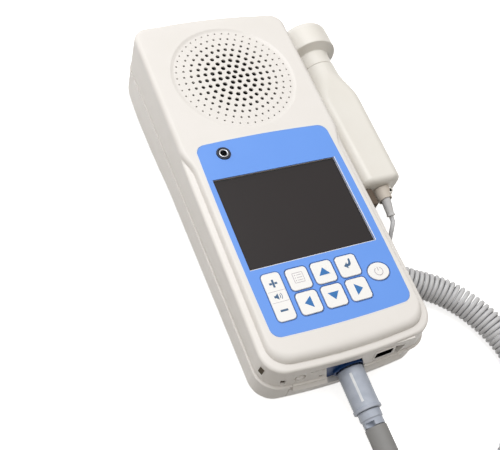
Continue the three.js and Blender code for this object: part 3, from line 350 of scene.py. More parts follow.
curl_axis = smooth_line([(x, y, curl_height) for x, y in curl_route],
                        tight_pitch / points_per_turn)
curl_line = curled(curl_axis)
start_way = curl_line[0] - curl_line[1]
end_way = curl_axis[-1] - curl_axis[-2]
boot_way = to_table.to_3x3() @ Vector((0, -math.cos(boot_drop), -math.sin(boot_drop)))
relief_way = to_table.to_3x3() @ Vector((0, -1, 0))
cable_line = smooth_line(
    straight_end(to_table @ boot_tip, boot_way) + [Vector(p) for p in cable_route]
    + straight_end(curl_line[0], start_way)[::-1], straight_spacing)
plug_line = smooth_line(
    [to_table @ relief_root] + straight_end(to_table @ relief_tip, relief_way)
    + [Vector(p) for p in lead_route]
    + straight_end(curl_axis[-1], end_way)[::-1], straight_spacing)
whole_line = cable_line + curl_line[:-2] + plug_line[::-1]
thickness = [1] * len(cable_line) + [curl_wire / lead_diameter] * (len(curl_line) - 2)
thickness += [1] * len(plug_line)

lead_finish = Finish("lead_jacket", "e2e3e7", specular=0.45)
lead_finish.moulded("d8d9dc", "cacbce", 0.38, 2400, 0.00001)
lead_curve = bpy.data.curves.new("lead", "CURVE")
lead_curve.dimensions = "3D"
lead_curve.bevel_depth = lead_diameter / 2000
lead_curve.bevel_resolution = 2
lead_curve.use_fill_caps = True
spline = lead_curve.splines.new("POLY")
spline.points.add(len(whole_line) - 1)
for point, place, scale in zip(spline.points, whole_line, thickness):
    point.co = (*(table_to_row @ place), 1)
    point.radius = scale
spline.use_smooth = True
lead_curve.materials.append(lead_finish.material)
lead = bpy.data.objects.new("lead", lead_curve)
scene.collection.objects.link(lead)
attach(lead, "base")
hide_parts("probe_cable", "curly_cord", "plug_lead")


# ---- Plug ----
# A metal nose in a blue-grey moulded barrel with a low rim, a stepped sleeve and a dark rubber
# strain relief that tapers down to the lead.
def spun(profile, sizes, segments=48, axis="Y"):
    """A closed solid turned from (radius, height) points round Y or Z, its corners rounded."""
    body = bmesh.new()
    profile = rounded(profile, sizes)
    corners = [body.verts.new((r, h, 0) if axis == "Y" else (r, 0, h)) for r, h in profile]
    lines = [body.edges.new(pair) for pair in zip(corners, corners[1:])]
    if profile[0][0] > 0 and profile[-1][0] > 0:
        lines.append(body.edges.new((corners[-1], corners[0])))
    bmesh.ops.spin(body, geom=corners + lines, cent=(0, 0, 0), angle=2 * math.pi, steps=segments,
                   axis=(0, 1, 0) if axis == "Y" else (0, 0, 1), use_merge=True)
    bmesh.ops.remove_doubles(body, verts=body.verts, dist=0.0005)
    bmesh.ops.recalc_face_normals(body, faces=body.faces)
    return body


def moved(body, x=0, y=0, z=0, turn=None):
    matrix = Matrix.Translation((x, y, z)) @ (turn or Matrix.Identity(4))
    bmesh.ops.transform(body, matrix=matrix, verts=body.verts)
    return body


def rounded(profile, sizes, steps=4):
    """The profile with the corners at the given places rounded off by their sizes."""
    result = []
    for i, point in enumerate(profile):
        size = sizes.get(i)
        if not size:
            result.append(point)
            continue
        corner = Vector(point)
        before = corner + (Vector(profile[i - 1]) - corner).normalized() * size
        after = corner + (Vector(profile[(i + 1) % len(profile)]) - corner).normalized() * size
        for k in range(steps + 1):
            t = k / steps
            result.append(tuple((1 - t) ** 2 * before + 2 * t * (1 - t) * corner + t * t * after))
    return result


sharp_turn = 32


def piece(name, body, finish, rides_on, slot, *stands_for):
    """The finished piece: its mesh goes to the row's frame, and its object stays at the origin."""
    bmesh.ops.transform(body, matrix=to_row, verts=body.verts)
    thing = placed(name, body)
    mesh = thing.data
    mesh.polygons.foreach_set("use_smooth", [True] * len(mesh.polygons))
    mesh.set_sharp_from_angle(angle=math.radians(sharp_turn))
    mesh.materials.append(finish.material)
    thing.modifiers.new("even_shading", "WEIGHTED_NORMAL").keep_sharp = True
    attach(thing, rides_on)
    if stands_for:
        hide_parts(*stands_for)
    return thing


def carved(body, tool, operation="DIFFERENCE"):
    """The body after one cut, join or crossing with the tool."""
    pair = [placed("blank", part) for part in (body, tool)]
    cut = pair[0].modifiers.new("cut", "BOOLEAN")
    cut.object = pair[1]
    cut.operation = operation
    cut.solver = "MANIFOLD"
    result = bmesh.new()
    result.from_object(pair[0], bpy.context.evaluated_depsgraph_get())
    for blank in pair:
        mesh = blank.data
        bpy.data.objects.remove(blank)
        bpy.data.meshes.remove(mesh)
    return result


def block(x0, x1, y0, y1, z0, z1):
    body = bmesh.new()
    middle = Vector(((x0 + x1) / 2, (y0 + y1) / 2, (z0 + z1) / 2))
    size = Matrix.Diagonal((x1 - x0, y1 - y0, z1 - z0, 1))
    bmesh.ops.create_cube(body, size=1, matrix=Matrix.Translation(middle) @ size)
    return body


def bevelled(body, edges, width, segments=3):
    bmesh.ops.bevel(body, geom=edges, offset=width, offset_type="OFFSET", affect="EDGES",
                    segments=segments, profile=0.5, material=-1)
    return body


def dress(finish, *nodes):
    """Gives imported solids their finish."""
    for node in nodes:
        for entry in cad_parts[node].material_slots:
            entry.material = finish.material


nickel = Finish("nickel_plate", "b9bbc0", metallic=1).rubbed(0.22, 0.14, 900)
dress(nickel, "plug_nose", "battery_contact_strip_1", "battery_contact_strip_2")

plug_z = -18.2
barrel_radius = 6.75
barrel_start = -82.3
highlight_ridge_turn = math.radians(30)
barrel_end = -103.9
barrel_rim = 0.4
plug_finish = Finish("plug_blue_grey", "aeb8c8").mottled("c3cad7", "9da6b7", 260, 6)
plug_finish.rubbed(0.3, 0.2, 420).grained(1800, 0.00002, 3)
barrel = spun([
    (0, barrel_end), (barrel_radius + barrel_rim, barrel_end),
    (barrel_radius + barrel_rim, barrel_end + 1.6), (barrel_radius, barrel_end + 1.9),
    (barrel_radius, barrel_start), (0, barrel_start)], {1: 0.5, 4: 0.8}, 64)
piece("barrel", moved(barrel, z=plug_z), plug_finish, "base", "plug_plastic", "plug_barrel")
# A low ridge runs along the barrel; its pale colour is a painted highlight, a streak of light.
highlight_streak_finish = Finish("pale_highlight_streak", "e9edf4", 0.25).mottled("ffffff", "c3cad6", 200, 5)
highlight_ridge = block(-0.65, 0.65, barrel_end + 4, barrel_start - 3, barrel_radius - 0.3,
             barrel_radius + 0.08)
bevelled(highlight_ridge, [e for e in highlight_ridge.edges if abs(e.verts[0].co.y - e.verts[1].co.y) > 1], 0.15, 2)
piece("barrel_highlight_ridge", moved(highlight_ridge, z=plug_z, turn=Matrix.Rotation(-highlight_ridge_turn, 4, "Y")), highlight_streak_finish,
      "base", "plug_plastic")

sleeve_start = -104.2
sleeve_end = -111.6
sleeve_radius = 5.25
sleeve_notch = 2.2
sleeve = spun([
    (0, sleeve_end), (sleeve_radius, sleeve_end), (sleeve_radius, sleeve_end + 3.2),
    (sleeve_radius + 0.5, sleeve_end + 3.8), (sleeve_radius + 0.5, sleeve_start),
    (0, sleeve_start)], {1: 0.3}, 56)
sleeve = carved(sleeve, block(-7, -1.6, sleeve_end - 1, sleeve_end + sleeve_notch, 1.6, 7))
piece("sleeve", moved(sleeve, z=plug_z), plug_finish, "base", "plug_plastic", "plug_sleeve")

relief_start = -111.9
relief_end = -150
relief_radius = 5.5
relief_tip_radius = 3
relief_straight = 14
relief_finish = Finish("relief_rubber", "8f8f8f").moulded("979797", "888888", 0.58, 1500, 0.00003)
relief_rings = 24
ring_depth = 0.12
relief_profile = [(0, relief_end), (relief_tip_radius, relief_end)]
for k in range(relief_rings + 1):
    y = between(relief_end + 0.6, relief_start - relief_straight, k / relief_rings)
    radius = between(relief_tip_radius + 0.3, relief_radius, k / relief_rings)
    relief_profile.append((radius - ring_depth * (k % 2), y))
relief_profile += [(relief_radius, relief_start - 0.4), (relief_radius - 0.4, relief_start),
                   (0, relief_start)]
piece("relief", moved(spun(relief_profile, {}), z=plug_z), relief_finish, "base", "boot_rubber",
      "plug_relief")
table_to_row @ cable_line[0]

# ---- Housing: the outline that both shells share ----
# A rounded box of warm ivory plastic. Its ends bow outwards, and a ledge runs round the raised
# front panel and fades out above the screen.
half_width = 46.7
button_end = -80.8
speaker_end = 136.3
end_draft = 1.9
wall = 2.2
ledge_corner = 12.5
pillow_corner = 11
speaker_corner = 9
end_bow = 1.3
bow_reach = 30
ledge_full = 33
ledge_gone = 48
corner_steps = 12
parting_depth = 20.1
parting_slope = 0.0435


def parting(y):
    return -parting_depth - parting_slope * y


def quarter_turn(steps):
    return [k / steps * math.pi / 2 for k in range(steps + 1)]


def round_point(x, y, radius, angle):
    return x + radius * math.cos(angle), y + radius * math.sin(angle)


def housing_ring(side, end, high_side, high_end, corner, stations, depth_at):
    """One ring round the housing, from the middle of the button end, inset from the outer wall by
    side and end below the screen and by high_side and high_end at the loudspeaker."""
    low_half, high_half = half_width - side, half_width - high_side
    low_y, high_y = button_end + end, speaker_end - high_end
    high_corner = speaker_corner - high_side
    right = []

    def add(x, y, bow):
        reach = min(x, half_width - ledge_corner) / bow_reach
        right.append((x, y + bow * end_bow * reach ** 2))

    quarter = quarter_turn(corner_steps)
    for share in (0, 0.3, 0.6, 0.85):
        add(share * (low_half - corner), low_y, 1)
    for angle in quarter:
        add(low_half - corner + corner * math.sin(angle),
            low_y + corner * (1 - math.cos(angle)), 1)
    for y in stations:
        add(between(low_half, high_half, smoothstep(ledge_full, ledge_gone, y)), y, 0)
    for angle in quarter:
        add(high_half - high_corner + high_corner * math.cos(angle),
            high_y - high_corner + high_corner * math.sin(angle), -1)
    for share in (0.85, 0.6, 0.3, 0):
        add(share * (high_half - high_corner), high_y, -1)
    left = [(-x, y) for x, y in right[-2:0:-1]]
    return [Vector((x, y, depth_at(y))) for x, y in right + left]


def lofted(rings, across=False):
    """A closed solid through rings of equally many points. Its ends are one face each, or strips
    that go straight across."""
    body = bmesh.new()
    loops = []
    for ring in rings:
        corners = [body.verts.new(p) for p in ring]
        lines = [body.edges.new(pair) for pair in zip(corners, corners[1:] + corners[:1])]
        loops.append((corners, lines))
    for (_, low), (_, high) in zip(loops, loops[1:]):
        bmesh.ops.bridge_loops(body, edges=low + high)
    for corners, _ in (loops[0], loops[-1]):
        count = len(corners)
        if not across:
            body.faces.new(corners)
            continue
        for i in range(count // 2):
            picks = dict.fromkeys((i, i + 1, count - i - 1, (count - i) % count))
            body.faces.new([corners[k] for k in picks])
    bmesh.ops.recalc_face_normals(body, faces=body.faces)
    return body


def ringed(rows, stations):
    """A solid through housing rings. Each row holds a ring's four insets, corner and depth."""
    rings = [housing_ring(*row[:-1], stations, row[-1]) for row in rows]
    return lofted(rings, across=True)


def pulled(body, faces, height):
    """Extrudes the faces and lifts what is new."""
    new = bmesh.ops.extrude_face_region(body, geom=faces)["geom"]
    bmesh.ops.translate(body, vec=(0, 0, height),
                        verts=[v for v in new if isinstance(v, bmesh.types.BMVert)])


def slab(outline, low, high):
    """A flat outline of (x, y) points, made solid from low to high."""
    body = bmesh.new()
    face = body.faces.new([body.verts.new((x, y, low)) for x, y in outline])
    pulled(body, [face], high - low)
    bmesh.ops.recalc_face_normals(body, faces=body.faces)
    return body


def rounded_box(width, height, corner, x, y, steps=8):
    outline = []
    for k in range(4):
        right = 1 if k in (0, 3) else -1
        up = 1 if k < 2 else -1
        for i in range(steps + 1):
            outline.append(round_point(
                x + right * (width / 2 - corner), y + up * (height / 2 - corner), corner,
                (k + i / steps) * math.pi / 2))
    return outline


def oval(width, height, x, y, sides=40):
    angles = [2 * math.pi * k / sides for k in range(sides)]
    return [(x + width / 2 * math.cos(a), y + height / 2 * math.sin(a)) for a in angles]


def together(*bodies):
    """Several solids that don't touch, as one."""
    whole = bmesh.new()
    for body in bodies:
        mesh = bpy.data.meshes.new("blank")
        body.to_mesh(mesh)
        body.free()
        whole.from_mesh(mesh)
        bpy.data.meshes.remove(mesh)
    return whole


def cylinder(radius, x, y, low, high, sides=32):
    body = bmesh.new()
    place = Matrix.Translation((x, y, (low + high) / 2))
    bmesh.ops.create_cone(body, cap_ends=True, segments=sides, radius1=radius, radius2=radius,
                          depth=high - low, matrix=place)
    return body


# ---- Front shell ----
# The front half is one moulding: the raised panel with its soft edge, the ledge, a shallow dish
# with rings of sound holes, and openings for overlay, screen, keys, socket, plug bay and port.
ledge_depth = 3.5
ledge_round = 1.5
ledge_width = 3.6
ledge_width_end = 3.9
pillow_round = 1.7
pillow_round_end = 4.2
edge_round = 3
edge_round_end = 4
shell_gap = 0.3
shell_finish = Finish("ivory_shell", "efece6").moulded("f3f0ee", "edeae6", 0.42)

overlay_size = (79, 113.6)
overlay_middle = (0.3, -7.1)
overlay_corner = 5
overlay_bow = (0.8, 1.2)
overlay_recess = 0.9
film_thickness = 0.6
overlay_fit = 0.15
window = (-0.6, 0, 71, 53.4)
key_size = (11.4, 11.7)
key_corner = 2
key_columns = [-14.05, -0.2, 13.65]
upper_row = -36.9
lower_row = -50.1
rocker = (-27.7, -43.3, 9.6, 25.2)
power_key = (28.2, -43.85, 11.8, 9.7)
key_hole = 0.35
jack_middle = (-24.5, 41.4)
collar_bore = 2.9
collar_radius = 3.8
speaker_middle = (0.4, 90.6)
dish_radius = 36.5
dish_depth = 0.55
dish_slant = 0.008
inner_dish = 34
dish_sides = 96
dish_back = 3.6
dish_margin = 1.5
plate_thickness = 0.8
grille_pitch = 4.108
grille_sides = 14
grille_radii = [1.38, 1.38, 1.38, 1.36, 1.22, 1.08, 0.88, 0.68, 0.52]
bay_outline = [(-16, -7.6), (3.8, -8), (7.4, -17), (7.4, -27), (-12.4, -27), (-13.4, -17)]
bay_length = 14.5
outside = button_end - end_draft - 2
port = (17.1, -11, 10.4, 5.4)
port_length = 9
draft_start = 5
draft_height = 11.6


def along_y(outline, low, high):
    """An outline of (x, z) points in the button end, made solid from one Y to another."""
    return moved(slab(outline, -high, -low), turn=Matrix.Rotation(math.pi / 2, 4, "X"))


def bay_space(out):
    """The plug bay's room, which starts this far outside the button end."""
    return along_y(bay_outline, outside - out, button_end + bay_length)


def end_wall(x, z):
    """Where the button end's wall lies at a place of its face."""
    reach = min(abs(x), half_width - ledge_corner) / bow_reach
    return button_end + end_bow * reach ** 2 - end_draft * (-z - draft_start) / draft_height


def overlay_outline(inset):
    """The overlay's outline, its edges bowed outwards between rounded corners."""
    half_x = overlay_size[0] / 2 - overlay_bow[0]
    half_y = overlay_size[1] / 2 - overlay_bow[1]
    plain = rounded_box(2 * half_x, 2 * half_y, overlay_corner, 0, 0)
    outline = []
    for (x0, y0), (x1, y1) in zip(plain, plain[1:] + plain[:1]):
        steps = 10 if math.dist((x0, y0), (x1, y1)) > 2 * overlay_corner else 1
        for k in range(steps):
            x, y = between(x0, x1, k / steps), between(y0, y1, k / steps)
            wide = 1 + (overlay_bow[0] * (1 - (y / half_y) ** 2) - inset) / half_x
            high = 1 + (overlay_bow[1] * (1 - (x / half_x) ** 2) - inset) / half_y
            outline.append((overlay_middle[0] + x * wide, overlay_middle[1] + y * high))
    return outline


def front_openings(low, jack_hole):
    """The tools for the window, the keys and the headphone socket, down to a depth."""
    return [block(window_x - window_width / 2, window_x + window_width / 2, -window_height / 2,
                  window_height / 2, low, 1),
            *[slab(outline, low, 1) for outline in key_outlines(key_hole).values()],
            cylinder(jack_hole, *jack_middle, low, 1)]


def key_outlines(grow):
    """Each key's outline, grown by the same amount all round."""
    names = [["menu", "up", "enter"], ["left", "down", "right"]]
    shapes = {}
    for y, row in zip((upper_row, lower_row), names):
        for x, name in zip(key_columns, row):
            shapes["key_" + name] = rounded_box(key_size[0] + 2 * grow, key_size[1] + 2 * grow,
                                                key_corner + grow, x, y)
    shapes["volume_rocker"] = rounded_box(rocker[2] + 2 * grow, rocker[3] + 2 * grow,
                                          key_corner + grow, *rocker[:2])
    shapes["key_power"] = oval(power_key[2] + 2 * grow, power_key[3] + 2 * grow, *power_key[:2])
    return shapes


ledge_stations = [between(ledge_full, ledge_gone, k / 8) for k in range(9)]
edge_turn = quarter_turn(5)
front_rows = [
    (0.25, 0.25 - end_draft, 0.25, 0.25, ledge_corner, lambda y: parting(y) + shell_gap / 2),
    (0, -end_draft, 0, 0, ledge_corner, lambda y: parting(y) + shell_gap / 2 + 0.3)]


def rim_row(side, end, down, corner, edge, edge_down):
    """One ring of the rim: below the screen it goes down by `down`, at the loudspeaker by
    `edge_down`."""
    return (side, end, edge * edge_round, edge * edge_round_end, corner,
            lambda y: -between(down, edge_down, smoothstep(ledge_full, ledge_gone, y)))


for angle in edge_turn:
    inward, upward = 1 - math.cos(angle), 1 - math.sin(angle)
    front_rows.append(rim_row(
        ledge_round * inward, ledge_round * inward, ledge_depth + ledge_round * upward,
        ledge_corner, 0, edge_round * (1.2 + 0.4 * upward)))
for angle in edge_turn:
    inward, upward = 1 - math.cos(angle), 1 - math.sin(angle)
    front_rows.append(rim_row(
        ledge_width + pillow_round * inward, ledge_width_end + pillow_round_end * inward,
        ledge_depth * upward, pillow_corner, inward, edge_round * upward))
front = ringed(front_rows, ledge_stations)
inner_corner = ledge_corner - wall
front = carved(front, ringed([
    (wall, wall - end_draft, wall, wall, inner_corner, lambda y: parting(y) - 1),
    (wall, wall, wall, wall, inner_corner, lambda y: -ledge_depth - ledge_round - wall),
    (ledge_width + wall, ledge_width_end + wall, wall, wall, pillow_corner - wall,
     lambda y: -ledge_depth - wall),
    (ledge_width + pillow_round + wall / 2, ledge_width_end + pillow_round_end,
     wall + pillow_round, wall + edge_round_end / 2, pillow_corner - wall, lambda y: -wall),
], ledge_stations))
dish_plate = cylinder(dish_radius + dish_margin, *speaker_middle, -dish_back, -dish_depth,
                      dish_sides)
strap_backing = block(22.6, 33.5, button_end + 0.6, button_end + 6.5, -19, -5)
for part in (dish_plate, strap_backing):
    front = carved(front, part, "UNION")
front = carved(front, slab(overlay_outline(0), -overlay_recess, 1))
port_x, port_z, port_width, port_height = port
port_space = along_y(rounded_box(port_width, port_height, 0.4, port_x, port_z), outside,
                     button_end + port_length)
strap_outline = [(23.6, -8.8), (25.1, -17), (26.6, -17), (28.6, -13.8), (30.2, -10.4)]
strap_depth = 5
strap = along_y(strap_outline, outside, button_end + strap_depth)
window_x, window_y, window_width, window_height = window
front = carved(front, together(
    *front_openings(-4, collar_bore), port_space, bay_space(3), strap))
pocket_places = [(-46.6, -72.6, -10.4, 70.7, 2.6, 4.6), (-37.2, -80, -12.6, 14.4, 2.6, 3.4)]


def pocket_block(place, low, high):
    """A block in one of the two pockets of the corner, from one depth to another."""
    x, y, z, angle, width, height = place
    tool = block(-width / 2, width / 2, low, high, -height / 2, height / 2)
    return moved(tool, x, y, z, Matrix.Rotation(-math.radians(angle), 4, "Z"))


for place in pocket_places:
    front = carved(front, pocket_block(place, -1, 7))
marks = [(-19.9, -8.5, 7.4, 0.7), (-17.2, -14.5, 2, 1.6)]
mark_depth = 3.4


def mark_block(x, z, width, height, out, deep):
    """A block in one of the two slots of the button end, from over its wall to a depth in it."""
    wall_y = end_wall(x, z)
    return block(x - width / 2, x + width / 2, wall_y + out, wall_y + deep, z - height / 2,
                 z + height / 2)


front = carved(front, together(*[mark_block(*mark, -4, mark_depth) for mark in marks]))
oval_middle = (-28.6, -11.4)
oval_size = (6.2, 4.6)
oval_core = (4.4, 2.8)
oval_depth = 0.8
oval_wall = end_wall(*oval_middle)
front = carved(front, carved(
    along_y(oval(*oval_size, *oval_middle), outside, oval_wall + oval_depth),
    along_y(oval(*oval_core, *oval_middle), outside - 1, oval_wall + 1)))


def dish_floor(y):
    return -dish_depth - dish_slant * (y - speaker_middle[1])


def dish_ring(radius, share, lift=0):
    """A ring round the loudspeaker, its height between the front and the dish's slanted floor."""
    return [Vector((x, y, share * dish_floor(y) + lift))
            for x, y in oval(2 * radius, 2 * radius, *speaker_middle, dish_sides)]


dish_curve = [(0, 1), (0.6, 0.92), (1.4, 0.55), (2, 0.16), (dish_radius - inner_dish, 0)]
dish_rings = [dish_ring(inner_dish + out, share) for out, share in dish_curve]
front = carved(front, lofted(dish_rings + [dish_ring(dish_radius, 0, 2)]))
front = carved(front, lofted([dish_ring(inner_dish, 1, -6),
                              dish_ring(inner_dish, 1, -plate_thickness)]))
holes = []
for i, radius in enumerate(grille_radii):
    reach = 2 * i * grille_pitch
    holes += [cylinder(radius, x, y, -5, 1, grille_sides)
              for x, y in oval(reach, reach, *speaker_middle, max(1, 6 * i))]
front = carved(front, together(*holes))
piece("front_housing", front, shell_finish, "base", "shell_plastic", "front_shell")

# Dark brown plugs in the two pockets of the corner and in the button end's slots, and a lining
# in the strap's recess, are painted shade: they make these hollows read dark.
recess_shade_finish = Finish("recess_shade_brown", "5c5347", specular=0.2)
recess_shade_finish.moulded("62594c", "4c443a", 0.8, 1500, 0.00003)
recess_shade_pads = [pocket_block(place, 0.7, 2) for place in pocket_places]
recess_shade_pads.append(along_y(strap_outline, button_end + 1.4, button_end + 3))
recess_shade_pads += [mark_block(*mark, 0.35, 2) for mark in marks]
piece("recess_shade_plugs", together(*recess_shade_pads), recess_shade_finish, "base", "foot_rubber")

# A black cloth under the plate; its black is partly painted shade, so the sound holes read dark.
cloth_and_shade_finish = Finish("black_cloth_and_shade", "0b0b0c", 0.95, specular=0.1)
cloth_and_shade_finish.mottled("0d0d0e", "080809", 900)
cloth = lofted([dish_ring(inner_dish - 0.2, 1, -plate_thickness - down) for down in (0.35, 0.05)])
piece("black_cloth_and_shade", cloth, cloth_and_shade_finish, "base", "gasket_foam")

# ---- Rear shell and battery door ----
# The rear half is a deep tray: thin behind the keys, with a ramp to a hump behind the loudspeaker.
# The battery door slides in its back and wraps round onto the button end.
back_round = 3
back_draft = 0.3
back_flare = 1
rear_rim = 1
hump_round = 12
door = (-31.3, 33.1, -5.3, -79.7)
door_thickness = 2
door_gap = 0.3
lip_steps = 12
lip_x1 = 28.8
back_depth = 39.27
back_slope = 0.065
ramp_from = 45
ramp_to = 80
tail_from = 104
tail_round = 10


def plain_back(y):
    return -back_depth - back_slope * y


def rest_plane(y):
    return -rest_depth - math.tan(tilt) * y


def back(y):
    return between(plain_back(y), rest_plane(y) + 1, smoothstep(ramp_from, ramp_to, y))


def back_roundness(y):
    return between(back_round, tail_round, smoothstep(tail_from, speaker_end, y))


rear_stations = [between(ramp_from, ramp_to, k / 10) for k in range(11)]
rear_stations += [92, tail_from, 109, 113.1]


def rear_body():
    rows = []
    for angle in quarter_turn(6):
        inward = back_round * (1 - math.sin(angle))
        rows.append((
            back_draft + inward, inward - end_draft - back_flare, back_draft + inward,
            hump_round * (1 - math.sin(angle)), ledge_corner - inward,
            lambda y, up=1 - math.cos(angle): back(y) + up * back_roundness(y)))
    for out, down in ((0.1, 1.5), (rear_rim, 1), (rear_rim, 0.25), (rear_rim - 0.2, 0)):
        rows.append((-out, -out - end_draft, -out / 2, -out / 2, ledge_corner,
                     lambda y, d=down: parting(y) - shell_gap / 2 - d))
    return ringed(rows, rear_stations)


def along_x(outline, x0, x1):
    """An outline of (y, z) points, made solid from one X to another."""
    turn = Matrix(((0, 0, 1, 0), (1, 0, 0, 0), (0, 1, 0, 0), (0, 0, 0, 1)))
    return moved(slab(outline, x0, x1), turn=turn)


def door_bar(end_y, lip_y, plate, x0, x1):
    """The space of the door: a plate under the battery compartment and a lip up the button end."""
    outline = [(outside, -80), (end_y, -80), (end_y, plain_back(end_y) + plate),
               (lip_y, plain_back(lip_y) + plate), (lip_y, parting(lip_y) + 1),
               (outside, parting(outside) + 1)]
    return along_x(outline, x0, x1)


door_x0, door_x1, door_end, door_lip = door
lid = carved(rear_body(), door_bar(door_end, door_lip, door_thickness, door_x0, door_x1),
             "INTERSECT")
lip_section = [(-81.9, -16.6), (-82.6, -16.6), (-85.2, -19.2), (-85.1, -19.9), (-83.2, -22.4),
               (-82.6, -30.6), (-81.9, -30.6)]
lip_rings = []
for k in range(lip_steps + 1):
    x = between(door_x0, lip_x1, k / lip_steps)
    bow = end_bow * (x / bow_reach) ** 2
    lip_rings.append([Vector((x, y + bow, z)) for y, z in lip_section])
lid = carved(lid, lofted(lip_rings), "UNION")
lid = carved(lid, bay_space(5))
thumb_grooves = (-22, -19.5, -17, -14.5, -12)
lid = carved(lid, together(*[block(-9, 9, y, y + 0.8, -60, plain_back(y) + 0.5)
                             for y in thumb_grooves]))
piece("battery_lid", lid, shell_finish, "battery_lid", "shell_plastic", "battery_door")

end_flare = -end_draft - back_flare
rear = carved(rear_body(), ringed([
    (back_round + wall, back_round + wall + end_flare, back_round + wall, hump_round + wall,
     inner_corner, lambda y: back(y) + wall),
    (back_draft + wall, wall + end_flare, back_draft + wall, wall, inner_corner,
     lambda y: back(y) + back_roundness(y) + wall),
    (wall, wall - end_draft, wall, wall, inner_corner, lambda y: parting(y) + 1),
], rear_stations))
rear = carved(rear, door_bar(door_end + door_gap, door_lip + door_gap, door_thickness + door_gap,
                             door_x0 - door_gap, door_x1 + door_gap))
screw_places = [(-38.2, -64), (38.2, -64), (-38.2, 119), (38.2, 119)]
screw_boss = 4.35
screw_bore = 2.9
screw_radius = 2.6
screw_seat = 8
for x, y in screw_places:
    rear = carved(rear, cylinder(screw_boss, x, y, back(y) + 1.2, parting(y) - 0.4), "UNION")
rear = carved(rear, together(*[
    cylinder(screw_bore, x, y, rest_plane(y) - 2, parting(y) - screw_seat, 24)
    for x, y in screw_places]))
rear = carved(rear, bay_space(5))
tray_y0, tray_y1 = -79.4, -3
tray_x0, tray_x1 = -33.6, 35.4
tray_low, tray_high = 2.3, 4.3
tray = [(y, plain_back(y) + up) for y, up in (
    (tray_y0, tray_high), (tray_y0, tray_low), (tray_y1, tray_low), (tray_y1, tray_high))]
rear = carved(rear, along_x(tray, tray_x0, tray_x1), "UNION")
piece("rear_housing", rear, shell_finish, "base", "shell_plastic", "rear_shell")

# Small screws hold the shells together from behind. Each has a cross recess in its head.
screw_finish = Finish("zinc_screw", "9fa2a6", metallic=1).rubbed(0.3, 0.2, 1500)
for i, (x, y) in enumerate(screw_places):
    top = parting(y) - screw_seat - 0.3
    head = spun([(0, top - 2), (screw_radius, top - 2), (screw_radius, top), (0, top)], {1: 0.6},
                32, "Z")
    for half_x, half_y in ((1.6, 0.3), (0.3, 1.6)):
        head = carved(head, block(-half_x, half_x, -half_y, half_y, top - 3, top - 1))
    piece(f"screw_head_{i + 1}", moved(head, x, y), screw_finish, "base", "screw_steel",
          f"shell_screw_{i + 1}")

# Four soft feet are glued on, and a bare film label covers the middle of the hump.
foot_finish = Finish("foot_rubber", "4a4a4c").moulded("505052", "424244", 0.8, 1800, 0.00004)
label_finish = Finish("label_film", "e4e4e0", 0.4).mottled("e8e8e4", "dededa", 90)
foot_radius = 4
for i in range(1, 5):
    low, high = (1000 * Vector(p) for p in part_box(f"rubber_foot_{i}"))
    height = high.z - low.z
    foot = spun([(0, 0), (foot_radius, 0), (foot_radius, height), (0, height)], {1: 0.3}, 40, "Z")
    moved(foot, (low.x + high.x) / 2, (low.y + high.y) / 2, low.z)
    moved(foot, turn=to_row.inverted() @ Matrix.Scale(0.001, 4))
    piece(f"foot_{i}_pad", foot, foot_finish, "base", "foot_rubber", f"rubber_foot_{i}")
dress(label_finish, "bare_label")

# ---- Overlay ----
# A printed film in light blue covers the front. Thin darker lines frame each key.
overlay_finish = Finish("overlay_blue", "74a9ff").mottled("72a7fd", "689ef7", 25, 2)
overlay_finish.rubbed(0.3, 0.08, 300).grained(2600, 0.000006)
overlay = slab(overlay_outline(overlay_fit), -film_thickness, 0)
overlay = carved(overlay, together(*front_openings(-2, collar_radius + 0.2)))
piece("overlay", overlay, overlay_finish, "base", "overlay_film", "overlay_panel")

border_width = 0.3
ink_low = 0.01
ink_thickness = 0.03
border_finish = Finish("border_blue", "3e72bd", 0.4).mottled("3a70bd", "3063ae", 400)


def framed(outline, width):
    """A thin printed band of one width along the inside of an outline."""
    ring = bmesh.new()
    face = ring.faces.new([ring.verts.new((x, y, ink_low)) for x, y in outline])
    ring.normal_update()
    bmesh.ops.inset_individual(ring, faces=[face], thickness=width, use_even_offset=True)
    bmesh.ops.delete(ring, geom=[face], context="FACES_ONLY")
    pulled(ring, ring.faces[:], ink_thickness)
    bmesh.ops.recalc_face_normals(ring, faces=ring.faces)
    return ring


borders = [framed(outline, border_width)
           for outline in key_outlines(key_hole + border_width).values()]
piece("key_borders", together(*borders), border_finish, "base", "overlay_film")
# The pale strip on the window's right edge is painted light, the lit side wall of the opening.
edge_and_highlight_finish = Finish("overlay_edge_and_highlight", "f2f5fb", 0.4).mottled("f6f8fc", "ebeff7", 300)
window_left, window_right = window_x - window_width / 2, window_x + window_width / 2
window_low = -window_height / 2
ink_high = ink_low + ink_thickness
piece("overlay_edge_and_highlight", together(
    framed(overlay_outline(-0.25), 0.35),
    block(window_right + 0.02, window_right + 0.5, window_low, -window_low, ink_low, ink_high),
    block(window_left, window_right, window_low - 0.3, window_low - 0.02, ink_low, ink_high)),
      edge_and_highlight_finish, "base", "overlay_film")

# ---- Screen window ----
# A smoked, glossy plate fills the window from behind, a little below the film. The display module
# and its metal frame lie under it.
window_finish = Finish("smoked_window", "343132", specular=0.22)
window_finish.mottled("363233", "312e2f", 14, 2).rubbed(0.26, 0.06, 60)
lens, rim = (slab(rounded_box(window_width + grow, window_height + grow, 0.4, window_x, window_y),
                  low, high) for grow, low, high in ((-0.6, -2.5, -1.1), (3.6, -4, -2.5)))
piece("window_plate", carved(lens, rim, "UNION"), window_finish, "base", "window_plastic",
      "display_lens")
dress(Finish("display_frame", "a5a7ab", metallic=1).rubbed(0.35, 0.15, 700), "display_module")

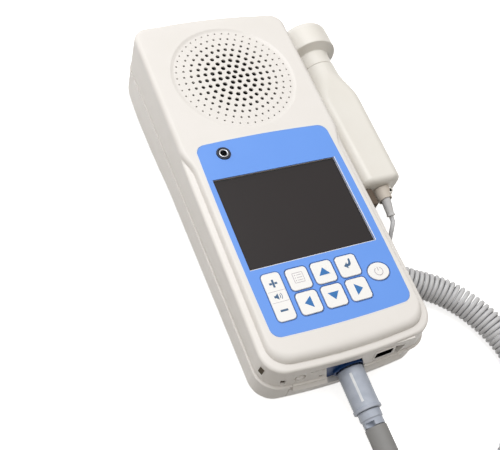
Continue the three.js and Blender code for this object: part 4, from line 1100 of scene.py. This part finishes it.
# ---- Keys ----
# Glossy white caps stand a little proud of the film, each on its own switch. Their signs are
# printed on.
key_finish = Finish("key_white", "fafaf8").mottled("ffffff", "fbfbfa", 120)
key_finish.rubbed(0.26, 0.1, 500)
sign_finish = Finish("sign_blue", "2f78c0", 0.45).mottled("347cc4", "2b72b8", 600)
pale_finish = Finish("sign_grey", "b9b4bb").mottled("c9c4cb", "bdb8c0", 600)
dark_finish = Finish("sign_slate", "45698f").mottled("4a6e94", "406389", 600)
key_proud = 0.4
key_back = -3.3
flange_back = -2.5
flange_width = 0.6
key_fit = 0.15
key_round = 0.35
print_low = 0.39
print_high = 0.43

for name, outline in key_outlines(key_fit).items():
    if name == "volume_rocker":
        cap = slab(outline, key_back, key_proud)
    else:
        cap = slab(key_outlines(flange_width)[name], key_back, flange_back)
        top = max(cap.faces, key=lambda f: f.calc_center_median().z)
        bmesh.ops.inset_region(cap, faces=[top], thickness=flange_width, use_even_offset=True)
        pulled(cap, [top], key_proud - flange_back)
        bmesh.ops.delete(cap, geom=[top], context="FACES_ONLY")
    bevelled(cap, [e for e in cap.edges
                   if all(abs(v.co.z - key_proud) < 0.01 for v in e.verts)], key_round)
    bmesh.ops.recalc_face_normals(cap, faces=cap.faces)
    piece(name.replace("key_", "cap_"), cap, key_finish, name + "_cap", "key_plastic", name)


def arc(x, y, radius, width, start, end, steps=24):
    """A band along part of a circle, as an outline. Angles are in degrees."""
    angles = [math.radians(between(start, end, k / steps)) for k in range(steps + 1)]
    return ([round_point(x, y, radius + width / 2, a) for a in angles]
            + [round_point(x, y, radius - width / 2, a) for a in angles[::-1]])


def box(x, y, width, height):
    return [(x - width / 2, y - height / 2), (x + width / 2, y - height / 2),
            (x + width / 2, y + height / 2), (x - width / 2, y + height / 2)]


def sign(name, key, finish, x, y, *outlines):
    """What is printed on one key, from outlines round a place on it."""
    prints = [slab([(x + dx, y + dy) for dx, dy in outline], print_low, print_high)
              for outline in outlines]
    piece("sign_" + name, together(*prints), finish, key + "_cap", "key_plastic")


arrow_half = 3.1
arrow_low = 1.6
arrow_high = 2.5
left_x, mid_x, right_x = key_columns
for name, x, y, way_x, way_y in (
        ("up", mid_x, upper_row, 0, 1), ("down", mid_x, lower_row + 0.3, 0, -1),
        ("left", left_x, lower_row, -1, 0), ("right", right_x - 0.2, lower_row, 1, 0)):
    foot_x, foot_y = -arrow_low * way_x, -arrow_low * way_y
    across_x, across_y = -way_y * arrow_half, way_x * arrow_half
    sign(name, "key_" + name, sign_finish, x, y, [
        (foot_x + across_x, foot_y + across_y), (foot_x - across_x, foot_y - across_y),
        (arrow_high * way_x, arrow_high * way_y)])
sign("enter", "key_enter", dark_finish, right_x + 0.2, upper_row + 1.4, [
    (-2.5, -1.3), (-0.4, -3), (-0.4, -1.9), (0.7, -1.7), (1.5, -1), (1.9, 0.2), (2, 2.2),
    (1, 2.2), (0.8, 0.6), (0.3, -0.3), (-0.4, -0.6), (-0.4, 0.5)])
sign("menu", "key_menu", pale_finish, left_x, upper_row,
     box(0, 3.1, 5.4, 0.3), box(0, -2.1, 5.4, 0.3), box(-2.7, 0.5, 0.3, 4.9),
     box(2.7, 0.5, 0.3, 4.9), *[box(0.6, dy, 2.9, 0.3) for dy in (1.9, 0.5, -0.9)],
     *[box(-1.7, dy, 0.5, 0.5) for dy in (1.9, 0.5, -0.9)])
sign("power", "key_power", pale_finish, *power_key[:2], arc(0, -0.1, 2.2, 0.45, 120, 420),
     box(0, 1.3, 0.45, 2.2))
sign("volume", "volume_rocker", dark_finish, *rocker[:2], box(-1.4, 7, 1.4, 1.1),
     box(1.4, 7, 1.4, 1.1), box(0, 7, 1.1, 4.2), box(0, -7.4, 4, 1.1),
     [(-2.2, -0.6), (-1.4, -0.6), (0, -1.7), (0, 1.7), (-1.4, 0.6), (-2.2, 0.6)],
     arc(-0.3, 0, 1.3, 0.3, -45, 45, 8), arc(-0.3, 0, 2.2, 0.3, -45, 45, 8))
sign("volume_lines", "volume_rocker", pale_finish, *rocker[:2], box(0, 2.9, 9, 0.2),
     box(0, -2.9, 9, 0.2))

board_finish = Finish("circuit_board", "1d5c39", 0.35)
board_pads = board_finish.add("ShaderNodeTexVoronoi", {"feature": "F1"}, {
    "Vector": board_finish.place, "Scale": 380}, "Distance")
board_mask = board_finish.add("ShaderNodeMapRange", None, {
    "Value": board_pads, "From Min": 0.12, "From Max": 0.16, "To Min": 1, "To Max": 0})
board_finish.set("Base Color", board_finish.blend(board_mask, tone("1d5c39"), tone("c8b26a")))
board_finish.set("Metallic", board_mask)
dress(Finish("dome_film", "2a2b30").moulded("303138", "24252a", 0.5), "key_dome_sheet")
dress(board_finish, "key_board", "main_board", "probe_board")
dress(Finish("chip_black", "1c1c1e").moulded("202022", "18181a", 0.5), "processor", "jack_body")

# ---- Headphone socket ----
# A navy collar is pressed into the film's hole round a bright turned sleeve with a 3.5 mm bore.
collar_finish = Finish("collar_navy", "232c42").moulded("283148", "1e273c", 0.4)
collar_proud = 0.6
collar = spun([(collar_bore, -film_thickness), (collar_radius, -film_thickness),
               (collar_radius, collar_proud), (collar_bore, collar_proud)],
              {2: 0.35, 3: 0.2}, axis="Z")
piece("socket_collar", moved(collar, *jack_middle), collar_finish, "base", "collar_plastic",
      "jack_collar")
jack_bore = 1.75
jack_radius = 2.6
jack_end = -8.4
sleeve_tube = spun([(jack_bore, jack_end), (jack_radius, jack_end), (jack_radius, collar_proud),
                    (jack_bore, collar_proud)], {2: 0.2, 3: 0.3}, axis="Z")
sleeve_finish = Finish("sleeve_nickel", "c9cbd2", metallic=1).rubbed(0.2, 0.12, 1200)
piece("socket_sleeve", moved(sleeve_tube, *jack_middle), sleeve_finish, "base", "socket_metal",
      "jack_sleeve")

# ---- Loudspeaker ----
# A black paper cone with its dust cap in a pressed basket, on a foam gasket, with a plated magnet.
cone_finish = Finish("cone_paper", "26272a").moulded("2b2c30", "1f2023", 0.85, 900, 0.00008)
dress(cone_finish, "speaker_cone", "speaker_gasket")
dress(Finish("basket_black", "33363a", metallic=0.6).rubbed(0.4, 0.2, 500), "speaker_basket")
dress(screw_finish, "speaker_magnet")

# ---- Power ----
# Four cells lie side by side between two spring contact strips. Their sleeves are bare.
cell_finish = Finish("cell_sleeve", "3b3f44", 0.35, 0.4).mottled("41454a", "34383d", 80)
dress(cell_finish, *[f"battery_cell_{i}" for i in range(1, 5)])

# ---- Button end: plug socket and data port ----
# The plug bay holds a blue moulded insert round the nose's hole; its blue is darkened as painted
# shade of the bay's mouth. The port is a black shell; its dull black is partly painted shade.
insert_shaded_finish = Finish("insert_blue_shaded", "083a74", specular=0.2).moulded("093f7a", "042650", 0.45)
insert_face = button_end + 0.4
bay_middle = (-3.5, -17.5)
insert_outline = [(between(bay_middle[0], x, 0.975), between(bay_middle[1], z, 0.975))
                  for x, z in bay_outline]
insert = along_y(insert_outline, insert_face, button_end + bay_length - 0.3)
hood_bore = 7
hood_radius = 8.2
hood_start = -81.9
hood = spun([(hood_bore, hood_start), (hood_radius, hood_start), (hood_radius, insert_face + 1),
             (hood_bore, insert_face + 1)], {0: 0.3, 1: 0.5}, 64)
insert = carved(insert, moved(hood, z=plug_z), "UNION")
nose_radius = 4.7
nose_hole = moved(cylinder(nose_radius, 0, 0, -20, 20, 40), 0, -73, plug_z,
                  Matrix.Rotation(math.pi / 2, 4, "X"))
piece("bay_insert", carved(insert, nose_hole), insert_shaded_finish, "base", "insert_plastic",
      "socket_insert")
port_and_shade_finish = Finish("port_black_and_shade", "040404", 0.8, specular=0).mottled("060606", "030303", 500)


def on_wall(outline, deep, proud):
    """A thin solid on the button end's wall, from (x, z) points."""
    return lofted([[Vector((x, end_wall(x, z) - out, z)) for x, z in outline]
                   for out in (-deep, proud)])


port_shell = on_wall(
    rounded_box(port_width - 0.1, port_height - 0.1, 0.35, port_x, port_z), 8, -0.1)
piece("port_shell", port_shell, port_and_shade_finish, "base", "socket_body", "data_port")
port_frame = carved(
    on_wall(rounded_box(port_width + 1.4, port_height + 1.4, 0.8, port_x, port_z), 1, 0.35),
    along_y(rounded_box(port_width, port_height, 0.4, port_x, port_z), -90, -70))
piece("port_frame", port_frame, shell_finish, "base", "shell_plastic")

# ---- Probe ----
# The probe is moulded in the housing's ivory: a round head on a neck, a flat grip in two halves,
# and a gland nut. The contact face is a smooth disc a little darker.
probe_x = 64.8
probe_z = -21
head_radius = 16.7
neck_radius = 11.2
neck_joint = 99.7
head_start = 109.5
head_end = 128.5
face_thickness = 4.2
neck_bore = 9.4
neck_tube = 10.9
cup_bore = 14.9
probe_finish = Finish("ivory_probe", "f1eee9").moulded("f3f1ec", "ece9e2", 0.38)
cup_rim = head_end - face_thickness - 0.02
head = spun([
    (neck_bore, neck_joint + 0.3), (neck_tube, neck_joint + 0.3), (neck_tube, head_start),
    (head_radius - 0.3, head_start + 2), (head_radius, head_start + 2.5), (head_radius, cup_rim),
    (cup_bore, cup_rim), (cup_bore, head_start + 4.4), (neck_bore, head_start + 2.4)],
    {1: 0.2, 2: 0.5, 3: 0.2, 4: 0.3}, 72)
piece("head_cup", moved(head, probe_x, 0, probe_z), probe_finish, "probe", "shell_plastic",
      "probe_head")
face_finish = Finish("face_plastic", "efebe4").moulded("f4f2ee", "eeebe6", 0.34)
face = spun(rounded([
    (0, head_end - face_thickness), (head_radius, head_end - face_thickness),
    (head_radius, head_end), (0, head_end)], {2: 3.5}, 8), {}, 72)
piece("contact_face", moved(face, probe_x, 0, probe_z), face_finish, "probe", "face_plastic",
      "probe_face")
dress(Finish("plated_ceramic", "c9b48a", metallic=0.6).rubbed(0.3, 0.2, 800), "probe_transducer")

grip_start = 11.2
grip_shoulder = 71
grip_round = 94
grip_half = (13.4, 11.4)
grip_foot_half = (12.5, 11.4)
grip_foot_round = 3.4
grip_corner = 6
grip_gap = 0.08


def grip_ring(y, half_x, half_z, corner):
    return [Vector((x, y, z)) for x, z in rounded_box(2 * half_x, 2 * half_z, corner, 0, 0)]


def grip_body():
    rings = []
    for angle in quarter_turn(6):
        tuck = grip_foot_round * (1 - math.sin(angle))
        rings.append(grip_ring(grip_start + grip_foot_round * (1 - math.cos(angle)),
                               grip_foot_half[0] - tuck, grip_foot_half[1] - tuck, grip_corner))
    for k in range(13):
        share = k / 12
        t = smoothstep(0, 1, share)
        rings.append(grip_ring(between(grip_shoulder, grip_round, share),
                               between(grip_half[0], neck_radius, t),
                               between(grip_half[1], neck_radius, t),
                               between(grip_corner, neck_radius - 0.01, t)))
    rings.append(grip_ring(neck_joint - 0.3, neck_radius, neck_radius, neck_radius - 0.01))
    rings.append(grip_ring(neck_joint - 0.15, neck_radius - 0.15, neck_radius - 0.15,
                           neck_radius - 0.16))
    return lofted(rings)


foot_hole = 1.2
small_hole = moved(cylinder(foot_hole, 0, 0, -3, 3, 24), 9.2, grip_start, -3,
                   Matrix.Rotation(math.pi / 2, 4, "X"))
for name, node, low, high in (("grip_upper", "probe_grip_front", grip_gap, 20),
                              ("grip_lower", "probe_grip_rear", -20, -grip_gap)):
    half = carved(grip_body(), block(-20, 20, 0, 110, low, high), "INTERSECT")
    if name == "grip_lower":
        half = carved(half, small_hole)
    piece(name, moved(half, probe_x, 0, probe_z), probe_finish, "probe", "shell_plastic", node)

# A small lug for a wrist cord stands on the grip's foot beside the gland. A black disc
# in its eyelet is painted shade, the dark inside of the hole.
lug_x, lug_y, lug_low, lug_high = 69.3, 7.9, -18.6, -16.6
lug_radius = 1.85
eyelet_radius = 1.1
lug_root = block(lug_x - 1.4, lug_x + 1.4, lug_y, grip_start + 0.5, lug_low + 0.1,
                 lug_high - 0.1)
lug = carved(cylinder(lug_radius, lug_x, lug_y, lug_low, lug_high, 32), lug_root, "UNION")
lug = carved(lug, cylinder(eyelet_radius, lug_x, lug_y, lug_high - 1.2, lug_high + 1, 24))
piece("cord_lug", lug, probe_finish, "probe", "shell_plastic")
eyelet_shade_disc = cylinder(eyelet_radius - 0.08, lug_x, lug_y, lug_high - 1, lug_high - 0.3, 24)
piece("lug_eyelet_shade", eyelet_shade_disc, port_and_shade_finish, "probe", "shell_plastic")
gland_x = probe_x + 1.2
gland_z = probe_z + 0.3
gland_end = 4
gland_bore = 1.8
gland_seat = 3.5
gland_root = grip_start - 0.3
gland = spun([
    (gland_bore, 6.5), (gland_seat, 6.3), (gland_seat, gland_end), (4, gland_end),
    (5.6, gland_root), (gland_bore, gland_root)], {2: 0.15, 3: 0.2, 4: 0.3})
gland_finish = Finish("gland_ivory", "d8cec2").moulded("dfd7cd", "cfc5b9", 0.45)
piece("gland", moved(gland, gland_x, 0, gland_z), gland_finish, "probe", "shell_plastic",
      "probe_gland")

# The boot is soft grey rubber with a collar at its tip. It droops from the gland.
boot_finish = Finish("boot_rubber", "c4c4c3").moulded("dadadb", "cbcbcc", 0.5, 1600, 0.00002)
boot_length = 8.5
boot_root = 2.4
boot_radius = 2.75
boot_collar = 2.4
boot_start = gland_end - 0.3 - 2.9 * math.sin(boot_drop)
boot = spun([
    (0, -boot_length), (boot_collar, -boot_length), (boot_collar, -boot_length + 1),
    (2.15, -boot_length + 1.3), (boot_radius, 0), (boot_radius, boot_root), (0, boot_root)],
    {1: 0.3, 3: 0.2, 5: 0.3}, 40)
moved(boot, gland_x, boot_start, gland_z, Matrix.Rotation(boot_drop, 4, "X"))
piece("boot", boot, boot_finish, "probe", "boot_rubber", "probe_boot")

# ---- Holder ----
# A moulded cradle is fixed to the right wall: a side plate, a floor under the grip, a stop at its
# foot end and a finger beside the neck.
# Its greyish ivory, darker than the shell's, is partly painted shade of the gap by the probe.
shaded_holder_finish = Finish("holder_ivory_shaded", "d0cac3").moulded("d4cec7", "c4bdb4", 0.5)


def softened(body, width):
    edges = [e for e in body.edges if len(e.link_faces) == 2 and e.calc_face_angle(0) > 0.6]
    return bevelled(body, edges, width)


holder_left = 47
holder_right = 51.1
holder_floor = -32.7
holder_low = holder_floor - 3
holder_end = 90
foot_end = 10.9
cradle = block(holder_left, holder_right, -4, holder_end, holder_low, -14)
grip_floor = block(holder_left, holder_left + 24, 20, 78, holder_low, holder_floor)
foot_stop = block(holder_left, holder_left + 6, -1.5, foot_end, holder_low, -15)
neck_finger = block(holder_left, holder_right, 81, holder_end, -15, -9.5)
for part in (grip_floor, foot_stop, neck_finger):
    cradle = carved(cradle, part, "UNION")
piece("cradle", softened(cradle, 0.5), shaded_holder_finish, "base", "holder_plastic", "probe_holder")

# A dark brown block beside the stop is painted shade: the shadow under the grip's foot.
stop_shade_finish = Finish("stop_shade_brown", "6b5d50", specular=0.25)
stop_shade_finish.moulded("85776a", "4d4137", 0.75, 900, 0.00005)
stop_shade_pad = block(holder_left + 6.1, holder_left + 10.7, 0.6, foot_end, holder_low + 1, -15.4)
piece("stop_shade_pad", softened(stop_shade_pad, 0.6), stop_shade_finish, "base", "foot_rubber")
